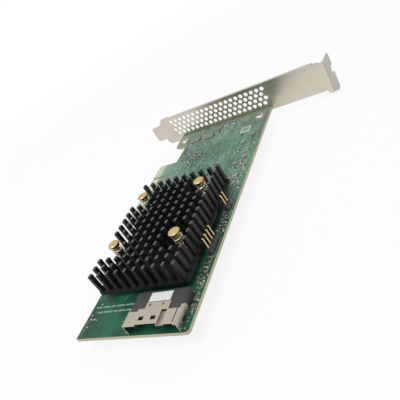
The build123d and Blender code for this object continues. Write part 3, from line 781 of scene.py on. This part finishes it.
class Bench:
    """Models new pieces with Blender's own tools, at sizes and places in millimetres."""

    def clear(self) -> None:
        """Deselect everything."""
        bpy.ops.object.select_all(action="DESELECT")

    def settle(self, piece: bpy.types.Object) -> bpy.types.Object:
        """Put the object at the origin with its place in its mesh.

        Args:
            piece: The piece to settle.

        Returns:
            The piece.
        """
        self.clear()
        piece.select_set(True)
        bpy.context.view_layer.objects.active = piece
        bpy.ops.object.transform_apply(location=True, rotation=True, scale=True)
        return piece

    def block(self, middle: Vector, size: tuple[float, float, float]) -> bpy.types.Object:
        """Add a box that is to be shaped further.

        Args:
            middle: Its middle.
            size: Its length, width and height.

        Returns:
            The box.
        """
        self.clear()
        bpy.ops.mesh.primitive_cube_add(size=1.0, location=Vector(middle) * MM, scale=Vector(size) * MM)
        return self.settle(bpy.context.object)

    def sheet(self, middle: Vector, size: Place) -> bpy.types.Object:
        """Add a flat rectangle that is to be shaped further.

        Args:
            middle: Its middle.
            size: Its length and width.

        Returns:
            The rectangle.
        """
        self.clear()
        bpy.ops.mesh.primitive_plane_add(size=1.0, location=Vector(middle) * MM)
        piece = bpy.context.object
        piece.scale = (size[0] * MM, size[1] * MM, 1.0)
        return self.settle(piece)

    def disc(self, middle: Vector, radius: float, sides: int = 12) -> bpy.types.Object:
        """Add a flat disc that is to be shaped further.

        Args:
            middle: Its middle.
            radius: Its radius.
            sides: The number of its sides.

        Returns:
            The disc.
        """
        self.clear()
        bpy.ops.mesh.primitive_circle_add(vertices=sides, radius=radius * MM, fill_type="NGON",
                                          location=Vector(middle) * MM)
        return self.settle(bpy.context.object)

    def pick(self, piece: bpy.types.Object, kind: str, test: Callable[[Vector, Vector], bool]) -> None:
        """Enter edit mode with the faces or edges selected that pass a test.

        Args:
            piece: The piece to shape.
            kind: FACE or EDGE.
            test: Says of a middle in millimetres, and a normal or direction, whether to select it.
        """
        self.clear()
        piece.select_set(True)
        bpy.context.view_layer.objects.active = piece
        bpy.ops.object.mode_set(mode="EDIT")
        bpy.ops.mesh.select_mode(type=kind)
        bpy.ops.mesh.select_all(action="DESELECT")
        shape = bmesh.from_edit_mesh(piece.data)
        for part in shape.faces if kind == "FACE" else shape.edges:
            if kind == "FACE":
                middle, way = part.calc_center_median(), part.normal
            else:
                ends = [vertex.co for vertex in part.verts]
                middle, way = (ends[0] + ends[1]) / 2, (ends[1] - ends[0]).normalized()
            if test(middle / MM, way):
                part.select_set(True)
        bmesh.update_edit_mesh(piece.data)

    def done(self) -> None:
        """Leave edit mode."""
        bpy.ops.object.mode_set(mode="OBJECT")

    def hollow(self, piece: bpy.types.Object, rim: float) -> bpy.types.Object:
        """Cut the middle out of a flat piece and leave a rim.

        Args:
            piece: The flat piece.
            rim: The width of the rim.

        Returns:
            The rim.
        """
        self.pick(piece, "FACE", lambda middle, way: True)
        bpy.ops.mesh.inset(thickness=rim * MM, depth=0)
        bpy.ops.mesh.delete(type="FACE")
        self.done()
        return piece

    def round_corners(self, piece: bpy.types.Object, radius: float) -> bpy.types.Object:
        """Round the corners of a flat piece.

        Args:
            piece: The flat piece.
            radius: How far from each corner the curve starts.

        Returns:
            The piece.
        """
        self.pick(piece, "EDGE", lambda middle, way: True)
        bpy.ops.mesh.bevel(offset=radius * MM, segments=2, affect="VERTICES")
        self.done()
        return piece

    def thicken(self, piece: bpy.types.Object, height: float) -> bpy.types.Object:
        """Give a flat piece its thickness, upwards from its face.

        Args:
            piece: The flat piece.
            height: Its thickness.

        Returns:
            The piece.
        """
        self.clear()
        piece.select_set(True)
        bpy.context.view_layer.objects.active = piece
        wall = piece.modifiers.new("thickness", "SOLIDIFY")
        wall.thickness = height * MM
        wall.offset = 1.0
        bpy.ops.object.modifier_apply(modifier=wall.name)
        return piece

    def soften(self, piece: bpy.types.Object, radius: float) -> bpy.types.Object:
        """Round a piece's edges.

        Args:
            piece: The piece.
            radius: The width of the rounding.

        Returns:
            The piece.
        """
        self.clear()
        piece.select_set(True)
        bpy.context.view_layer.objects.active = piece
        bevel = piece.modifiers.new("edges", "BEVEL")
        bevel.width = radius * MM
        bevel.segments = 2
        bpy.ops.object.modifier_apply(modifier=bevel.name)
        return piece

    def copies(self, piece: bpy.types.Object, turns: list[Matrix]) -> bpy.types.Object:
        """Copy a piece to many places and join the copies.

        Args:
            piece: The piece, at the origin, which is used up.
            turns: One matrix in metres for each copy.

        Returns:
            The joined copies as one piece.
        """
        made = []
        for turn in turns:
            copy = piece.copy()
            copy.data = piece.data.copy()
            copy.matrix_world = turn
            bpy.context.scene.collection.objects.link(copy)
            made.append(copy)
        bpy.data.objects.remove(piece)
        return self.join(made)

    def join(self, pieces: list[bpy.types.Object]) -> bpy.types.Object:
        """Join pieces into one at the origin.

        Args:
            pieces: The pieces, which are used up.

        Returns:
            The joined piece.
        """
        self.clear()
        for piece in pieces:
            piece.select_set(True)
        bpy.context.view_layer.objects.active = pieces[0]
        bpy.ops.object.join()
        return self.settle(bpy.context.object)


@dataclass
class Assembly:
    """What every sub-assembly of new pieces shares."""

    frame: dict[str, Any]
    wardrobe: Wardrobe
    bench: Bench = field(default_factory=Bench)
    clearance: float = 0.2
    placed_nodes: tuple[str, ...] = (
        "capacitor_bodies", "capacitor_ends", "resistor_bodies", "resistor_ends", "bulk_capacitor_bodies",
        "bulk_capacitor_ends", "power_inductors", "regulators", "memory_bodies", "memory_leads",
        "crystal_cases", "indicator_leds", "board_label", "activity_header_base", "fan_header_base",
        "bracket_screws", "connector_housing", "connector_shell", "heat_sink",
    )

    @cached_property
    def taken(self) -> list[Box]:
        """Return the boxes of what the frame has on the component side."""
        return [box for node in self.placed_nodes for box in solids_of(self.frame["nodes"][node])]

    def is_free(self, place: Place, half: Place) -> bool:
        """Say whether a place on the board is clear of everything that the frame has there.

        Args:
            place: The middle, from the bracket end and the fingers' foot.
            half: Half the length and width of what is to stand there.

        Returns:
            True where nothing is nearer than the clearance.
        """
        middle = self.at(*place)
        for low, high in self.taken:
            across = abs(middle.x - (low.x + high.x) / 2) - (high.x - low.x) / 2
            along = abs(middle.y - (low.y + high.y) / 2) - (high.y - low.y) / 2
            if across < half[0] + self.clearance and along < half[1] + self.clearance:
                return False
        return True

    @property
    def board(self) -> Box:
        """Return the board's corners in millimetres."""
        low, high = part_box("circuit_board")
        return low / MM, high / MM

    def at(self, x: float, y: float, z: float = 0.0) -> Vector:
        """Return a place from the bracket end, the fingers' foot and the component face."""
        low, high = self.board
        return Vector((low.x + x, low.y + y, high.z + z))

    def finish(self, piece: bpy.types.Object, name: str, look: Look, slot: str) -> bpy.types.Object:
        """Name a piece, dress it and let it ride on the card.

        Args:
            piece: The finished shape.
            name: Its name.
            look: Its finish.
            slot: The record's material slot; not used.

        Returns:
            The piece.
        """
        piece.name = name
        self.wardrobe.dress(piece, look)
        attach(piece, ROOT)
        LOG.info("made %s with %d faces", name, len(piece.data.polygons))
        return piece


@dataclass
class BoardPrint(Assembly):
    """White outlines and marks printed on the component side."""

    line: float = 0.16
    height: float = 0.012
    rise: float = 0.004
    chip_margin: float = 0.55
    part_margin: float = 0.3
    frames: tuple = (
        ((34.2, 59.3), (4.2, 4.2)), ((49.4, 63.7), (4.4, 4.2)), ((53.8, 59.4), (3.8, 3.6)),
        ((5.0, 27.0), (2.6, 2.4)), ((5.0, 30.2), (2.6, 2.4)), ((5.0, 33.4), (2.6, 2.4)),
        ((4.8, 49.4), (2.4, 3.0)), ((4.8, 53.4), (2.4, 3.0)), ((21.4, 38.6), (5.4, 4.6)),
        ((41.2, 50.4), (4.6, 3.6)), ((66.4, 58.8), (3.2, 4.6)), ((125.4, 65.5), (4.2, 3.6)),
        ((94.5, 66.0), (5.6, 4.2)), ((103.6, 67.0), (4.4, 2.6)), ((145.2, 67.0), (3.4, 2.4)),
    )
    strokes: tuple = (
        ((31.7, 50.9), (31.7, 56.8)), ((30.2, 62.2), (37.5, 62.9)), ((119.8, 64.6), (119.8, 68.4)),
        ((3.4, 13.3), (2.4, 15.6)), ((2.6, 15.8), (2.2, 18.4)), ((123.4, 63.8), (127.0, 63.8)),
        ((43.0, 33.4), (43.0, 39.6)), ((56.4, 20.6), (61.2, 20.6)), ((23.8, 50.2), (23.8, 53.6)),
        ((26.4, 44.0), (31.0, 44.0)), ((131.4, 63.6), (131.4, 68.2)), ((59.8, 57.4), (59.8, 62.2)),
        ((152.4, 39.6), (154.6, 39.6)), ((151.4, 36.6), (151.4, 39.2)), ((146.6, 14.4), (150.2, 14.4)),
    )
    striped_patch: tuple = ((139.4, 66.8, 2.6), (140.1, 66.8, 2.6), (140.8, 66.8, 2.6), (141.5, 66.8, 2.6))
    plain_bars: tuple = (
        (140.2, ((14.9, 18.6), (19.1, 23.4), (23.9, 26.2), (26.7, 31.2), (31.7, 36.4))),
        (142.9, ((17.1, 20.3), (20.8, 25.9), (26.4, 28.4), (28.9, 33.1), (33.6, 36.2))),
        (151.6, ((14.4, 15.1),)), (152.9, ((14.4, 15.0),)), (154.1, ((14.5, 15.2),)),
    )
    bar_width: float = 0.9
    stroke_rounding: float = 0.45
    bar_rounding: float = 0.3

    def outline(self, middle: Vector, size: Place) -> bpy.types.Object:
        """Add one flat printed rectangle."""
        return self.bench.hollow(self.bench.sheet(middle, size), self.line)

    def stroke(self, start: Place, end: Place) -> bpy.types.Object:
        """Add one flat printed line with round ends.

        Args:
            start: One end, from the bracket end and the fingers' foot.
            end: The other end.

        Returns:
            The line.
        """
        first, last = self.at(*start, self.rise), self.at(*end, self.rise)
        run = last - first
        piece = self.bench.sheet(Vector((0, 0, 0)), (run.length, self.line))
        self.bench.round_corners(piece, self.line * self.stroke_rounding)
        turn = run.to_track_quat("X", "Z").to_matrix().to_4x4()
        piece.matrix_world = Matrix.Translation((first + last) / 2 * MM) @ turn
        return self.bench.settle(piece)

    def part_outlines(self) -> list[bpy.types.Object]:
        """Outline the chips and headers that the frame carries.

        Returns:
            One flat outline for each.
        """
        pieces = []
        margins = {
            "memory_bodies": self.chip_margin, "crystal_cases": self.part_margin,
            "fan_header_base": self.part_margin, "activity_header_base": self.part_margin,
        }
        for node, margin in margins.items():
            for low, high in solids_of(self.frame["nodes"][node]):
                middle = (low + high) / 2
                middle.z = self.board[1].z + self.rise
                size = (high.x - low.x + 2 * margin, high.y - low.y + 2 * margin)
                pieces.append(self.outline(middle, size))
        return pieces

    def bars(self) -> list[bpy.types.Object]:
        """Add two broken bars beside the cable connector, and three short marks by the board's end.

        Returns:
            The flat bars.
        """
        pieces = []
        for x, spans in self.plain_bars:
            for first, last in spans:
                middle = self.at(x, (first + last) / 2, self.rise)
                bar = self.bench.sheet(middle, (self.bar_width, last - first))
                pieces.append(self.bench.round_corners(bar, self.bar_width * self.bar_rounding))
        return pieces

    def build(self) -> None:
        """Print the board."""
        bars = self.bench.thicken(self.bench.join(self.bars()), self.height)
        self.finish(bars, "board_bars", Look.FAINT_INK, "label")
        pieces = self.part_outlines()
        pieces += [self.outline(self.at(*middle, self.rise), size) for middle, size in self.frames]
        pieces += [self.stroke(start, end) for start, end in self.strokes]
        pieces += [self.stroke((x, y - bar / 2), (x, y + bar / 2)) for x, y, bar in self.striped_patch]
        lines = self.bench.thicken(self.bench.join(pieces), self.height)
        self.finish(lines, "board_print", Look.INK, "label")


@dataclass
class PadsAndJoints(Assembly):
    """Bare pads, plated rings and solder."""

    pad_height: float = 0.02
    pad_rise: float = 0.003
    fillet_reach: float = 0.32
    fillet_share: float = 0.75
    fillet_drop: float = -0.88
    fillet_sag: tuple[float, float, float] = (-0.08, 0.0, -0.14)
    cone_height: float = 0.9
    cone_radii: Place = (0.35, 0.8)
    cone_sides: int = 12
    cone_softness: float = 0.06
    ring_rim: float = 0.45
    screw_rim: float = 0.405
    screw_ring_sides: int = 24
    test_pads: tuple = (
        (134.7, 25.7), (137.6, 30.2), (138.6, 17.4), (138.0, 23.0), (153.9, 42.6), (151.2, 66.9),
        (153.9, 66.8), (26.0, 34.0), (36.8, 40.4), (46.0, 30.0), (52.0, 38.4), (57.2, 46.2), (28.6, 47.8),
        (18.4, 44.6), (62.6, 28.4), (60.8, 38.0), (66.0, 44.2), (16.8, 38.2), (54.6, 28.2), (40.2, 28.6),
        (126.8, 64.8), (130.6, 63.9), (137.9, 66.6), (107.0, 67.3), (85.0, 66.9), (72.0, 66.2),
        (75.6, 66.8), (79.2, 65.8),
    )
    pad_radius: float = 0.4
    pad_corner: float = 0.15
    bare_pads: tuple = (
        ((146.4, 67.2), (1.5, 0.7)), ((148.2, 66.6), (0.8, 1.3)), ((97.4, 67.9), (0.9, 0.7)),
        ((150.2, 15.6), (0.7, 0.7)), ((135.9, 64.4), (1.4, 0.9)), ((133.2, 67.6), (0.9, 1.1)),
        ((128.8, 64.3), (1.6, 0.7)), ((64.4, 61.4), (0.9, 1.4)), ((60.6, 65.9), (1.3, 0.8)),
        ((20.4, 64.6), (1.3, 0.8)), ((22.4, 64.2), (0.8, 1.4)), ((36.6, 66.2), (1.5, 0.9)),
        ((33.0, 66.4), (1.5, 0.9)), ((12.6, 41.6), (1.0, 1.6)), ((14.6, 41.6), (1.0, 1.6)),
        ((87.2, 67.8), (1.1, 0.6)), ((69.4, 62.6), (0.8, 1.3)), ((70.6, 65.4), (1.3, 0.8)),
    )

    def fillets(self) -> None:
        """Add a sloping fillet of solder beyond each metal end of the small parts."""
        turns = []
        for ends, bodies in (("capacitor_ends", "capacitor_bodies"), ("resistor_ends", "resistor_bodies"),
                             ("bulk_capacitor_ends", "bulk_capacitor_bodies")):
            middles = [(low + high) / 2 for low, high in solids_of(self.frame["nodes"][bodies])]
            for low, high in solids_of(self.frame["nodes"][ends]):
                turns.append(self.fillet_turn(low, high, middles))
        wedge = self.bench.block(Vector((0.5, 0, 0.5)) / MM, (1 / MM, 1 / MM, 1 / MM))
        self.bench.pick(wedge, "EDGE", lambda middle, way: middle.x * MM > 0.9 and middle.z * MM > 0.9)
        bpy.ops.transform.translate(value=(0, 0, self.fillet_drop))
        self.bench.done()
        self.bench.pick(wedge, "FACE", lambda middle, way: way.x > 0.2 and way.z > 0.2)
        bpy.ops.mesh.subdivide(number_cuts=1)
        self.bench.done()

        def is_crease(middle: Vector, way: Vector) -> bool:
            """Say whether an edge is the crease half way down the slope."""
            return abs(way.y) > 0.9 and 0.4 < middle.x * MM < 0.6 and middle.z * MM > 0.3

        self.bench.pick(wedge, "EDGE", is_crease)
        bpy.ops.transform.translate(value=self.fillet_sag)
        self.bench.done()
        self.finish(self.bench.copies(wedge, turns), "solder_fillets", Look.TIN, "tin")

    def fillet_turn(self, low: Vector, high: Vector, middles: list[Vector]) -> Matrix:
        """Work out the place, turn and size of the fillet at one metal end.

        Args:
            low: The metal end's lowest corner.
            high: Its highest corner.
            middles: The middles of the bodies that such ends belong to.

        Returns:
            The matrix that takes a unit wedge there, in metres.
        """
        middle = (low + high) / 2
        body = min(middles, key=lambda other: (other - middle).length)
        out = middle - body
        along_x = abs(out.x) > abs(out.y)
        side = 1 if (out.x if along_x else out.y) > 0 else -1
        angle = (0 if side > 0 else math.pi) if along_x else side * math.pi / 2
        half = (high.x - low.x if along_x else high.y - low.y) / 2
        width = high.y - low.y if along_x else high.x - low.x
        reach = Vector((math.cos(angle), math.sin(angle), 0)) * half
        foot = Vector((middle.x, middle.y, low.z)) + reach
        size = (self.fillet_reach, width, (high.z - low.z) * self.fillet_share)
        scale = Matrix.Diagonal((*[part * MM for part in size], 1.0))
        return Matrix.Translation(foot * MM) @ Matrix.Rotation(angle, 4, "Z") @ scale

    def pads(self) -> None:
        """Add round test pads and bare oblong pads."""
        half = (self.pad_radius, self.pad_radius)
        places = [place for place in self.test_pads if self.is_free(place, half)]
        dots = [Matrix.Translation(self.at(*place, self.pad_rise) * MM) for place in places]
        pieces = [self.bench.copies(self.bench.disc(Vector((0, 0, 0)), self.pad_radius), dots)]
        for middle, size in self.bare_pads:
            if self.is_free(middle, (size[0] / 2, size[1] / 2)):
                pad = self.bench.sheet(self.at(*middle, self.pad_rise), size)
                pieces.append(self.bench.round_corners(pad, self.pad_corner))
        pads = self.bench.thicken(self.bench.join(pieces), self.pad_height)
        self.finish(pads, "bare_pads", Look.TIN, "tin")

    def rings(self) -> None:
        """Add a plated ring round each header pin on the solder side, and round each bracket screw."""
        low, high = self.board
        under = low.z - self.pad_rise - self.pad_height
        pieces = []
        for node in ("activity_header_pins", "fan_header_pins"):
            for pin_low, pin_high in solids_of(self.frame["nodes"][node]):
                middle = (pin_low + pin_high) / 2
                radius = (pin_high.x - pin_low.x) / 2 + self.ring_rim
                ring = self.bench.disc(Vector((middle.x, middle.y, under)), radius)
                pieces.append(self.bench.hollow(ring, self.ring_rim))
        for screw_low, screw_high in solids_of(self.frame["nodes"]["bracket_screws"]):
            middle = (screw_low + screw_high) / 2
            radius = (screw_high.x - screw_low.x) / 2 + self.ring_rim
            middle.z = high.z + self.pad_rise
            ring = self.bench.disc(middle, radius, self.screw_ring_sides)
            pieces.append(self.bench.hollow(ring, self.screw_rim))
        rings = self.bench.thicken(self.bench.join(pieces), self.pad_height)
        self.finish(rings, "plated_rings", Look.TIN, "tin")

    def cones(self) -> None:
        """Add the cones of solder round the header pins on the solder side."""
        low, _ = self.board
        turns = []
        for node in ("activity_header_pins", "fan_header_pins"):
            for pin_low, pin_high in solids_of(self.frame["nodes"][node]):
                middle = (pin_low + pin_high) / 2
                turns.append(Matrix.Translation(Vector((middle.x, middle.y, low.z)) * MM))
        self.bench.clear()
        bpy.ops.mesh.primitive_cone_add(
            vertices=self.cone_sides, radius1=self.cone_radii[0] * MM, radius2=self.cone_radii[1] * MM,
            depth=self.cone_height * MM, location=(0, 0, -self.cone_height / 2 * MM),
        )
        cone = self.bench.settle(bpy.context.object)
        self.bench.pick(cone, "FACE", lambda middle, way: abs(way.z) < 0.9)
        bpy.ops.mesh.subdivide(number_cuts=1)
        self.bench.done()
        cones = self.bench.copies(self.bench.soften(cone, self.cone_softness), turns)
        self.finish(cones, "solder_cones", Look.TIN, "tin")

    def build(self) -> None:
        """Add the pads, rings and joints."""
        self.fillets()
        self.pads()
        self.rings()
        self.cones()


@dataclass
class TinyParts(Assembly):
    """Rows of the smallest chip parts, too small to be separate in the frame."""

    size: tuple[float, float, float] = (1.0, 0.5, 0.4)
    end: float = 0.24
    body_share: float = 0.96
    end_softness: float = 0.04
    rows: tuple = (
        ((4.6, 36.4), (0.0, 1.5), 2, False), ((29.4, 28.4), (0.0, 1.3), 2, False),
        ((37.8, 17.2), (1.6, 0.25), 4, True), ((38.0, 20.0), (1.6, 0.25), 4, True),
        ((38.6, 26.4), (1.7, 0.2), 3, True), ((44.6, 24.6), (1.6, 0.4), 2, True),
        ((36.0, 28.2), (0.2, 1.4), 2, False), ((44.4, 63.6), (1.6, 0.0), 2, True),
        ((52.2, 61.8), (0.0, 1.3), 2, False), ((56.0, 57.4), (1.4, 0.1), 3, True),
        ((59.8, 50.0), (0.1, 1.3), 3, False), ((67.4, 61.2), (0.0, 1.3), 2, False),
        ((24.2, 66.6), (1.7, 0.0), 3, True), ((20.8, 33.6), (1.5, 0.0), 3, True),
        ((9.0, 47.4), (1.4, 0.0), 3, True), ((107.6, 63.9), (0.0, 1.2), 1, False),
        ((137.6, 65.0), (1.3, 0.0), 2, True), ((3.0, 40.6), (0.1, 1.3), 5, False),
        ((4.6, 20.4), (1.7, 0.1), 5, True), ((18.6, 15.8), (1.6, 0.3), 5, True),
        ((17.0, 21.6), (0.2, 1.4), 6, False), ((19.6, 22.4), (0.2, 1.4), 5, False),
        ((22.4, 17.8), (1.5, 0.5), 6, True), ((9.8, 36.0), (1.5, 0.1), 4, True),
        ((3.4, 56.6), (0.2, 1.4), 4, False), ((6.4, 57.4), (0.1, 1.4), 4, False),
        ((9.6, 53.0), (1.5, 0.1), 3, True), ((48.2, 18.4), (1.6, 0.2), 6, True),
        ((50.6, 24.2), (1.5, 0.3), 5, True), ((29.8, 19.0), (0.2, 1.4), 4, False),
        ((26.6, 56.8), (0.1, 1.4), 4, False), ((31.6, 24.0), (1.5, 0.2), 3, True),
        ((24.6, 24.6), (0.3, 1.4), 4, False), ((2.4, 46.2), (0.0, 1.3), 2, False),
        ((6.8, 41.0), (1.5, 0.1), 3, True), ((2.8, 61.8), (1.5, 0.1), 3, True),
        ((11.6, 60.4), (0.1, 1.3), 4, False), ((13.8, 60.0), (0.1, 1.3), 4, False),
        ((15.6, 46.8), (1.4, 0.1), 2, True), ((41.6, 44.0), (1.5, 0.2), 3, True),
        ((62.4, 46.0), (0.1, 1.4), 3, False), ((45.4, 57.0), (0.1, 1.4), 3, False),
        ((142.0, 66.0), (0.0, 1.2), 1, False), ((149.9, 67.2), (1.3, 0.1), 2, True),
        ((144.2, 15.0), (1.4, 0.2), 2, True), ((86.0, 65.0), (0.0, 1.3), 2, False),
        ((82.6, 67.6), (1.5, 0.0), 2, True), ((74.0, 64.6), (1.5, 0.1), 3, True),
    )

    def turns(self) -> list[Matrix]:
        """Work out where the parts stand, and leave out places that are taken.

        Returns:
            The place and turn of each part.
        """
        made = []
        for first, step, count, turned in self.rows:
            half = (self.size[1] / 2, self.size[0] / 2) if turned else (self.size[0] / 2, self.size[1] / 2)
            turn = Matrix.Rotation(math.pi / 2 if turned else 0, 4, "Z")
            for index in range(count):
                place = (first[0] + step[0] * index, first[1] + step[1] * index)
                if self.is_free(place, half):
                    made.append(Matrix.Translation(self.at(*place, self.size[2] / 2) * MM) @ turn)
        return made

    def build(self) -> None:
        """Model one part, cut its metal ends off its body and copy both."""
        length = self.size[0]
        body = self.bench.block(Vector((0, 0, 0)), self.size)
        self.bench.pick(body, "FACE", lambda middle, way: abs(way.x) > 0.9)
        share = (length - 2 * self.end) / length
        bpy.ops.transform.resize(value=(share, self.body_share, self.body_share))
        self.bench.done()
        reach = (length - self.end) / 2
        caps = []
        for side in (-1, 1):
            cap = self.bench.block(Vector((side * reach, 0, 0)), (self.end, self.size[1], self.size[2]))
            caps.append(self.bench.soften(cap, self.end_softness))
        ends = self.bench.join(caps)
        turns = self.turns()
        self.finish(self.bench.copies(body, turns), "tiny_part_bodies", Look.TINY, "ceramic_brown")
        self.finish(self.bench.copies(ends, turns), "tiny_part_ends", Look.TIN, "tin")


@dataclass
class PinCaps(Assembly):
    """Toothed bands round the heads of the push pins."""

    teeth: int = 16
    stand_out: float = 0.04
    grip: float = 0.01
    band_height: float = 0.7
    below_top: float = 0.38

    def build(self) -> None:
        """Model one band, push every second face out and copy it to each head."""
        turns = []
        radius = 0.0
        for low, high in solids_of(self.frame["nodes"]["push_pins"]):
            radius = (high.x - low.x) / 2
            middle = (low + high) / 2
            middle.z = high.z - self.below_top - self.band_height / 2
            turns.append(Matrix.Translation(middle * MM))
        self.bench.clear()
        bpy.ops.mesh.primitive_cylinder_add(vertices=2 * self.teeth, radius=(radius + self.grip) * MM,
                                            depth=self.band_height * MM)
        band = self.bench.settle(bpy.context.object)
        step = math.pi / self.teeth

        def is_tooth(middle: Vector, way: Vector) -> bool:
            """Say whether a face of the band is one of its teeth."""
            return abs(way.z) < 0.5 and int(round(math.atan2(way.y, way.x) / step - 0.5)) % 2 == 0

        self.bench.pick(band, "FACE", is_tooth)
        bpy.ops.mesh.extrude_faces_move(TRANSFORM_OT_shrink_fatten={"value": self.stand_out * MM})
        self.bench.done()
        self.finish(self.bench.copies(band, turns), "pin_head_bands", Look.BRASS, "brass")


@dataclass
class Studio:
    """Pale floor, one soft lamp and the camera."""

    camera_place: tuple[float, float, float] = (190.26, 163.01, 105.37)
    right: tuple[float, float, float] = (-0.29406, 0.8247, -0.48311)
    up: tuple[float, float, float] = (-0.64137, 0.20449, 0.73948)
    focal_length: float = 40.891
    sensor_width: float = 36.0
    floor_side: float = 60.0
    floor_colour: Colour = rgb(0.93, 0.93, 0.93)
    floor_shade: Colour = rgb(0.9, 0.9, 0.9)
    white_near: float = 0.87
    white_from: Place = (250.0, 700.0)
    world_strength: float = 0.62
    mirrored_strength: float = 0.85
    lamp_place: tuple[float, float, float] = (0.35, -0.15, 1.0)
    lamp_side: float = 0.7
    lamp_power: float = 4.0
    lamp_aim: tuple[float, float, float] = (0.03, 0.04, 0.0)

    def set_world(self) -> None:
        """Light the card from all round, with a white background."""
        world = bpy.data.worlds.new("studio_world")
        bpy.context.scene.world = world
        world.use_nodes = True
        graph = WorldGraph(world)
        background = graph.tree.nodes["Background"]
        graph.feed(background.inputs["Color"], rgb(1, 1, 1))
        level = self.world_strength
        for ray, brighter in (("Is Glossy Ray", self.mirrored_strength), ("Is Camera Ray", 1.0)):
            seen = graph.add("ShaderNodeLightPath", output=ray)
            level = graph.add("ShaderNodeMix", inputs={0: seen, 2: level, 3: brighter})
        graph.feed(background.inputs["Strength"], level)

    def lay_floor(self) -> bpy.types.Object:
        """Add the floor under the card's lowest point.

        Returns:
            The floor.
        """
        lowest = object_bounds()[0][2]
        bpy.ops.mesh.primitive_plane_add(size=self.floor_side, location=(0, 0, lowest))
        floor = bpy.context.object
        floor.name = "floor"
        graph = Graph("floor_paint")
        grain = graph.noise(60.0, 1.0)
        tone = graph.mix(grain * 0.2, self.floor_colour, self.floor_shade)
        graph.surface(base_color=tone, roughness=0.9)
        self.whiten(graph)
        floor.data.materials.append(graph.material)
        floor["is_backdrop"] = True
        return floor

    def whiten(self, graph: Graph) -> None:
        """Show the floor paler near the card and plain white far from it, in mirrored views too.

        Args:
            graph: The node tree of the floor's paint.
        """
        x, y, _ = graph.place.parts()
        far = graph.steps((x * x + y * y).math("SQRT"), *self.white_from)
        camera = graph.add("ShaderNodeLightPath", output="Is Camera Ray")
        mirror = graph.add("ShaderNodeLightPath", output="Is Glossy Ray")
        white = far * (1 - self.white_near) + self.white_near
        seen = camera.most(mirror * self.mirrored_strength) * white
        paint = Wire(graph, graph.shader.outputs[0])
        glow = graph.add("ShaderNodeEmission")
        both = graph.add("ShaderNodeMixShader", inputs={0: seen, 1: paint, 2: glow})
        graph.feed(graph.tree.nodes["Material Output"].inputs["Surface"], both)

    def hang_lamp(self, name: str, place: tuple[float, float, float], size: float, power: float) -> None:
        """Add a square lamp that faces the card.

        Args:
            name: The lamp's name.
            place: Its middle, in metres.
            size: Its side, in metres.
            power: Its power, in watts.
        """
        lamp = bpy.data.lights.new(name, "AREA")
        lamp.size = size
        lamp.energy = power
        holder = bpy.data.objects.new(name, lamp)
        bpy.context.scene.collection.objects.link(holder)
        holder.location = place
        aim = Vector(self.lamp_aim) - Vector(place)
        holder.rotation_euler = aim.to_track_quat("-Z", "Y").to_euler()

    def set_camera(self) -> None:
        """Place the camera at the viewing angle."""
        camera = bpy.data.cameras.new("camera")
        camera.lens = self.focal_length
        camera.sensor_width = self.sensor_width
        camera.clip_start = 0.01
        holder = bpy.data.objects.new("camera", camera)
        bpy.context.scene.collection.objects.link(holder)
        right = Vector(self.right)
        up = Vector(self.up)
        holder.rotation_euler = Matrix((right, up, right.cross(up))).transposed().to_euler()
        holder.location = Vector(self.camera_place) * MM
        bpy.context.scene.camera = holder

    def build(self) -> None:
        """Set up the whole studio."""
        self.set_world()
        self.lay_floor()
        self.hang_lamp("key_lamp", self.lamp_place, self.lamp_side, self.lamp_power)
        self.set_camera()
        bpy.context.scene.view_settings.view_transform = "Standard"


def main() -> None:
    """Dress the card and set it in the studio."""
    logging.basicConfig(level=logging.INFO)
    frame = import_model()
    wardrobe = Wardrobe()
    for name, look in NODE_LOOKS.items():
        wardrobe.dress(frame["nodes"][name], look)
        LOG.info("dressed %s", name)
    for kind in (BoardPrint, PadsAndJoints, TinyParts, PinCaps):
        kind(frame, wardrobe).build()
    Studio().build()


if __name__ == "__main__":
    main()
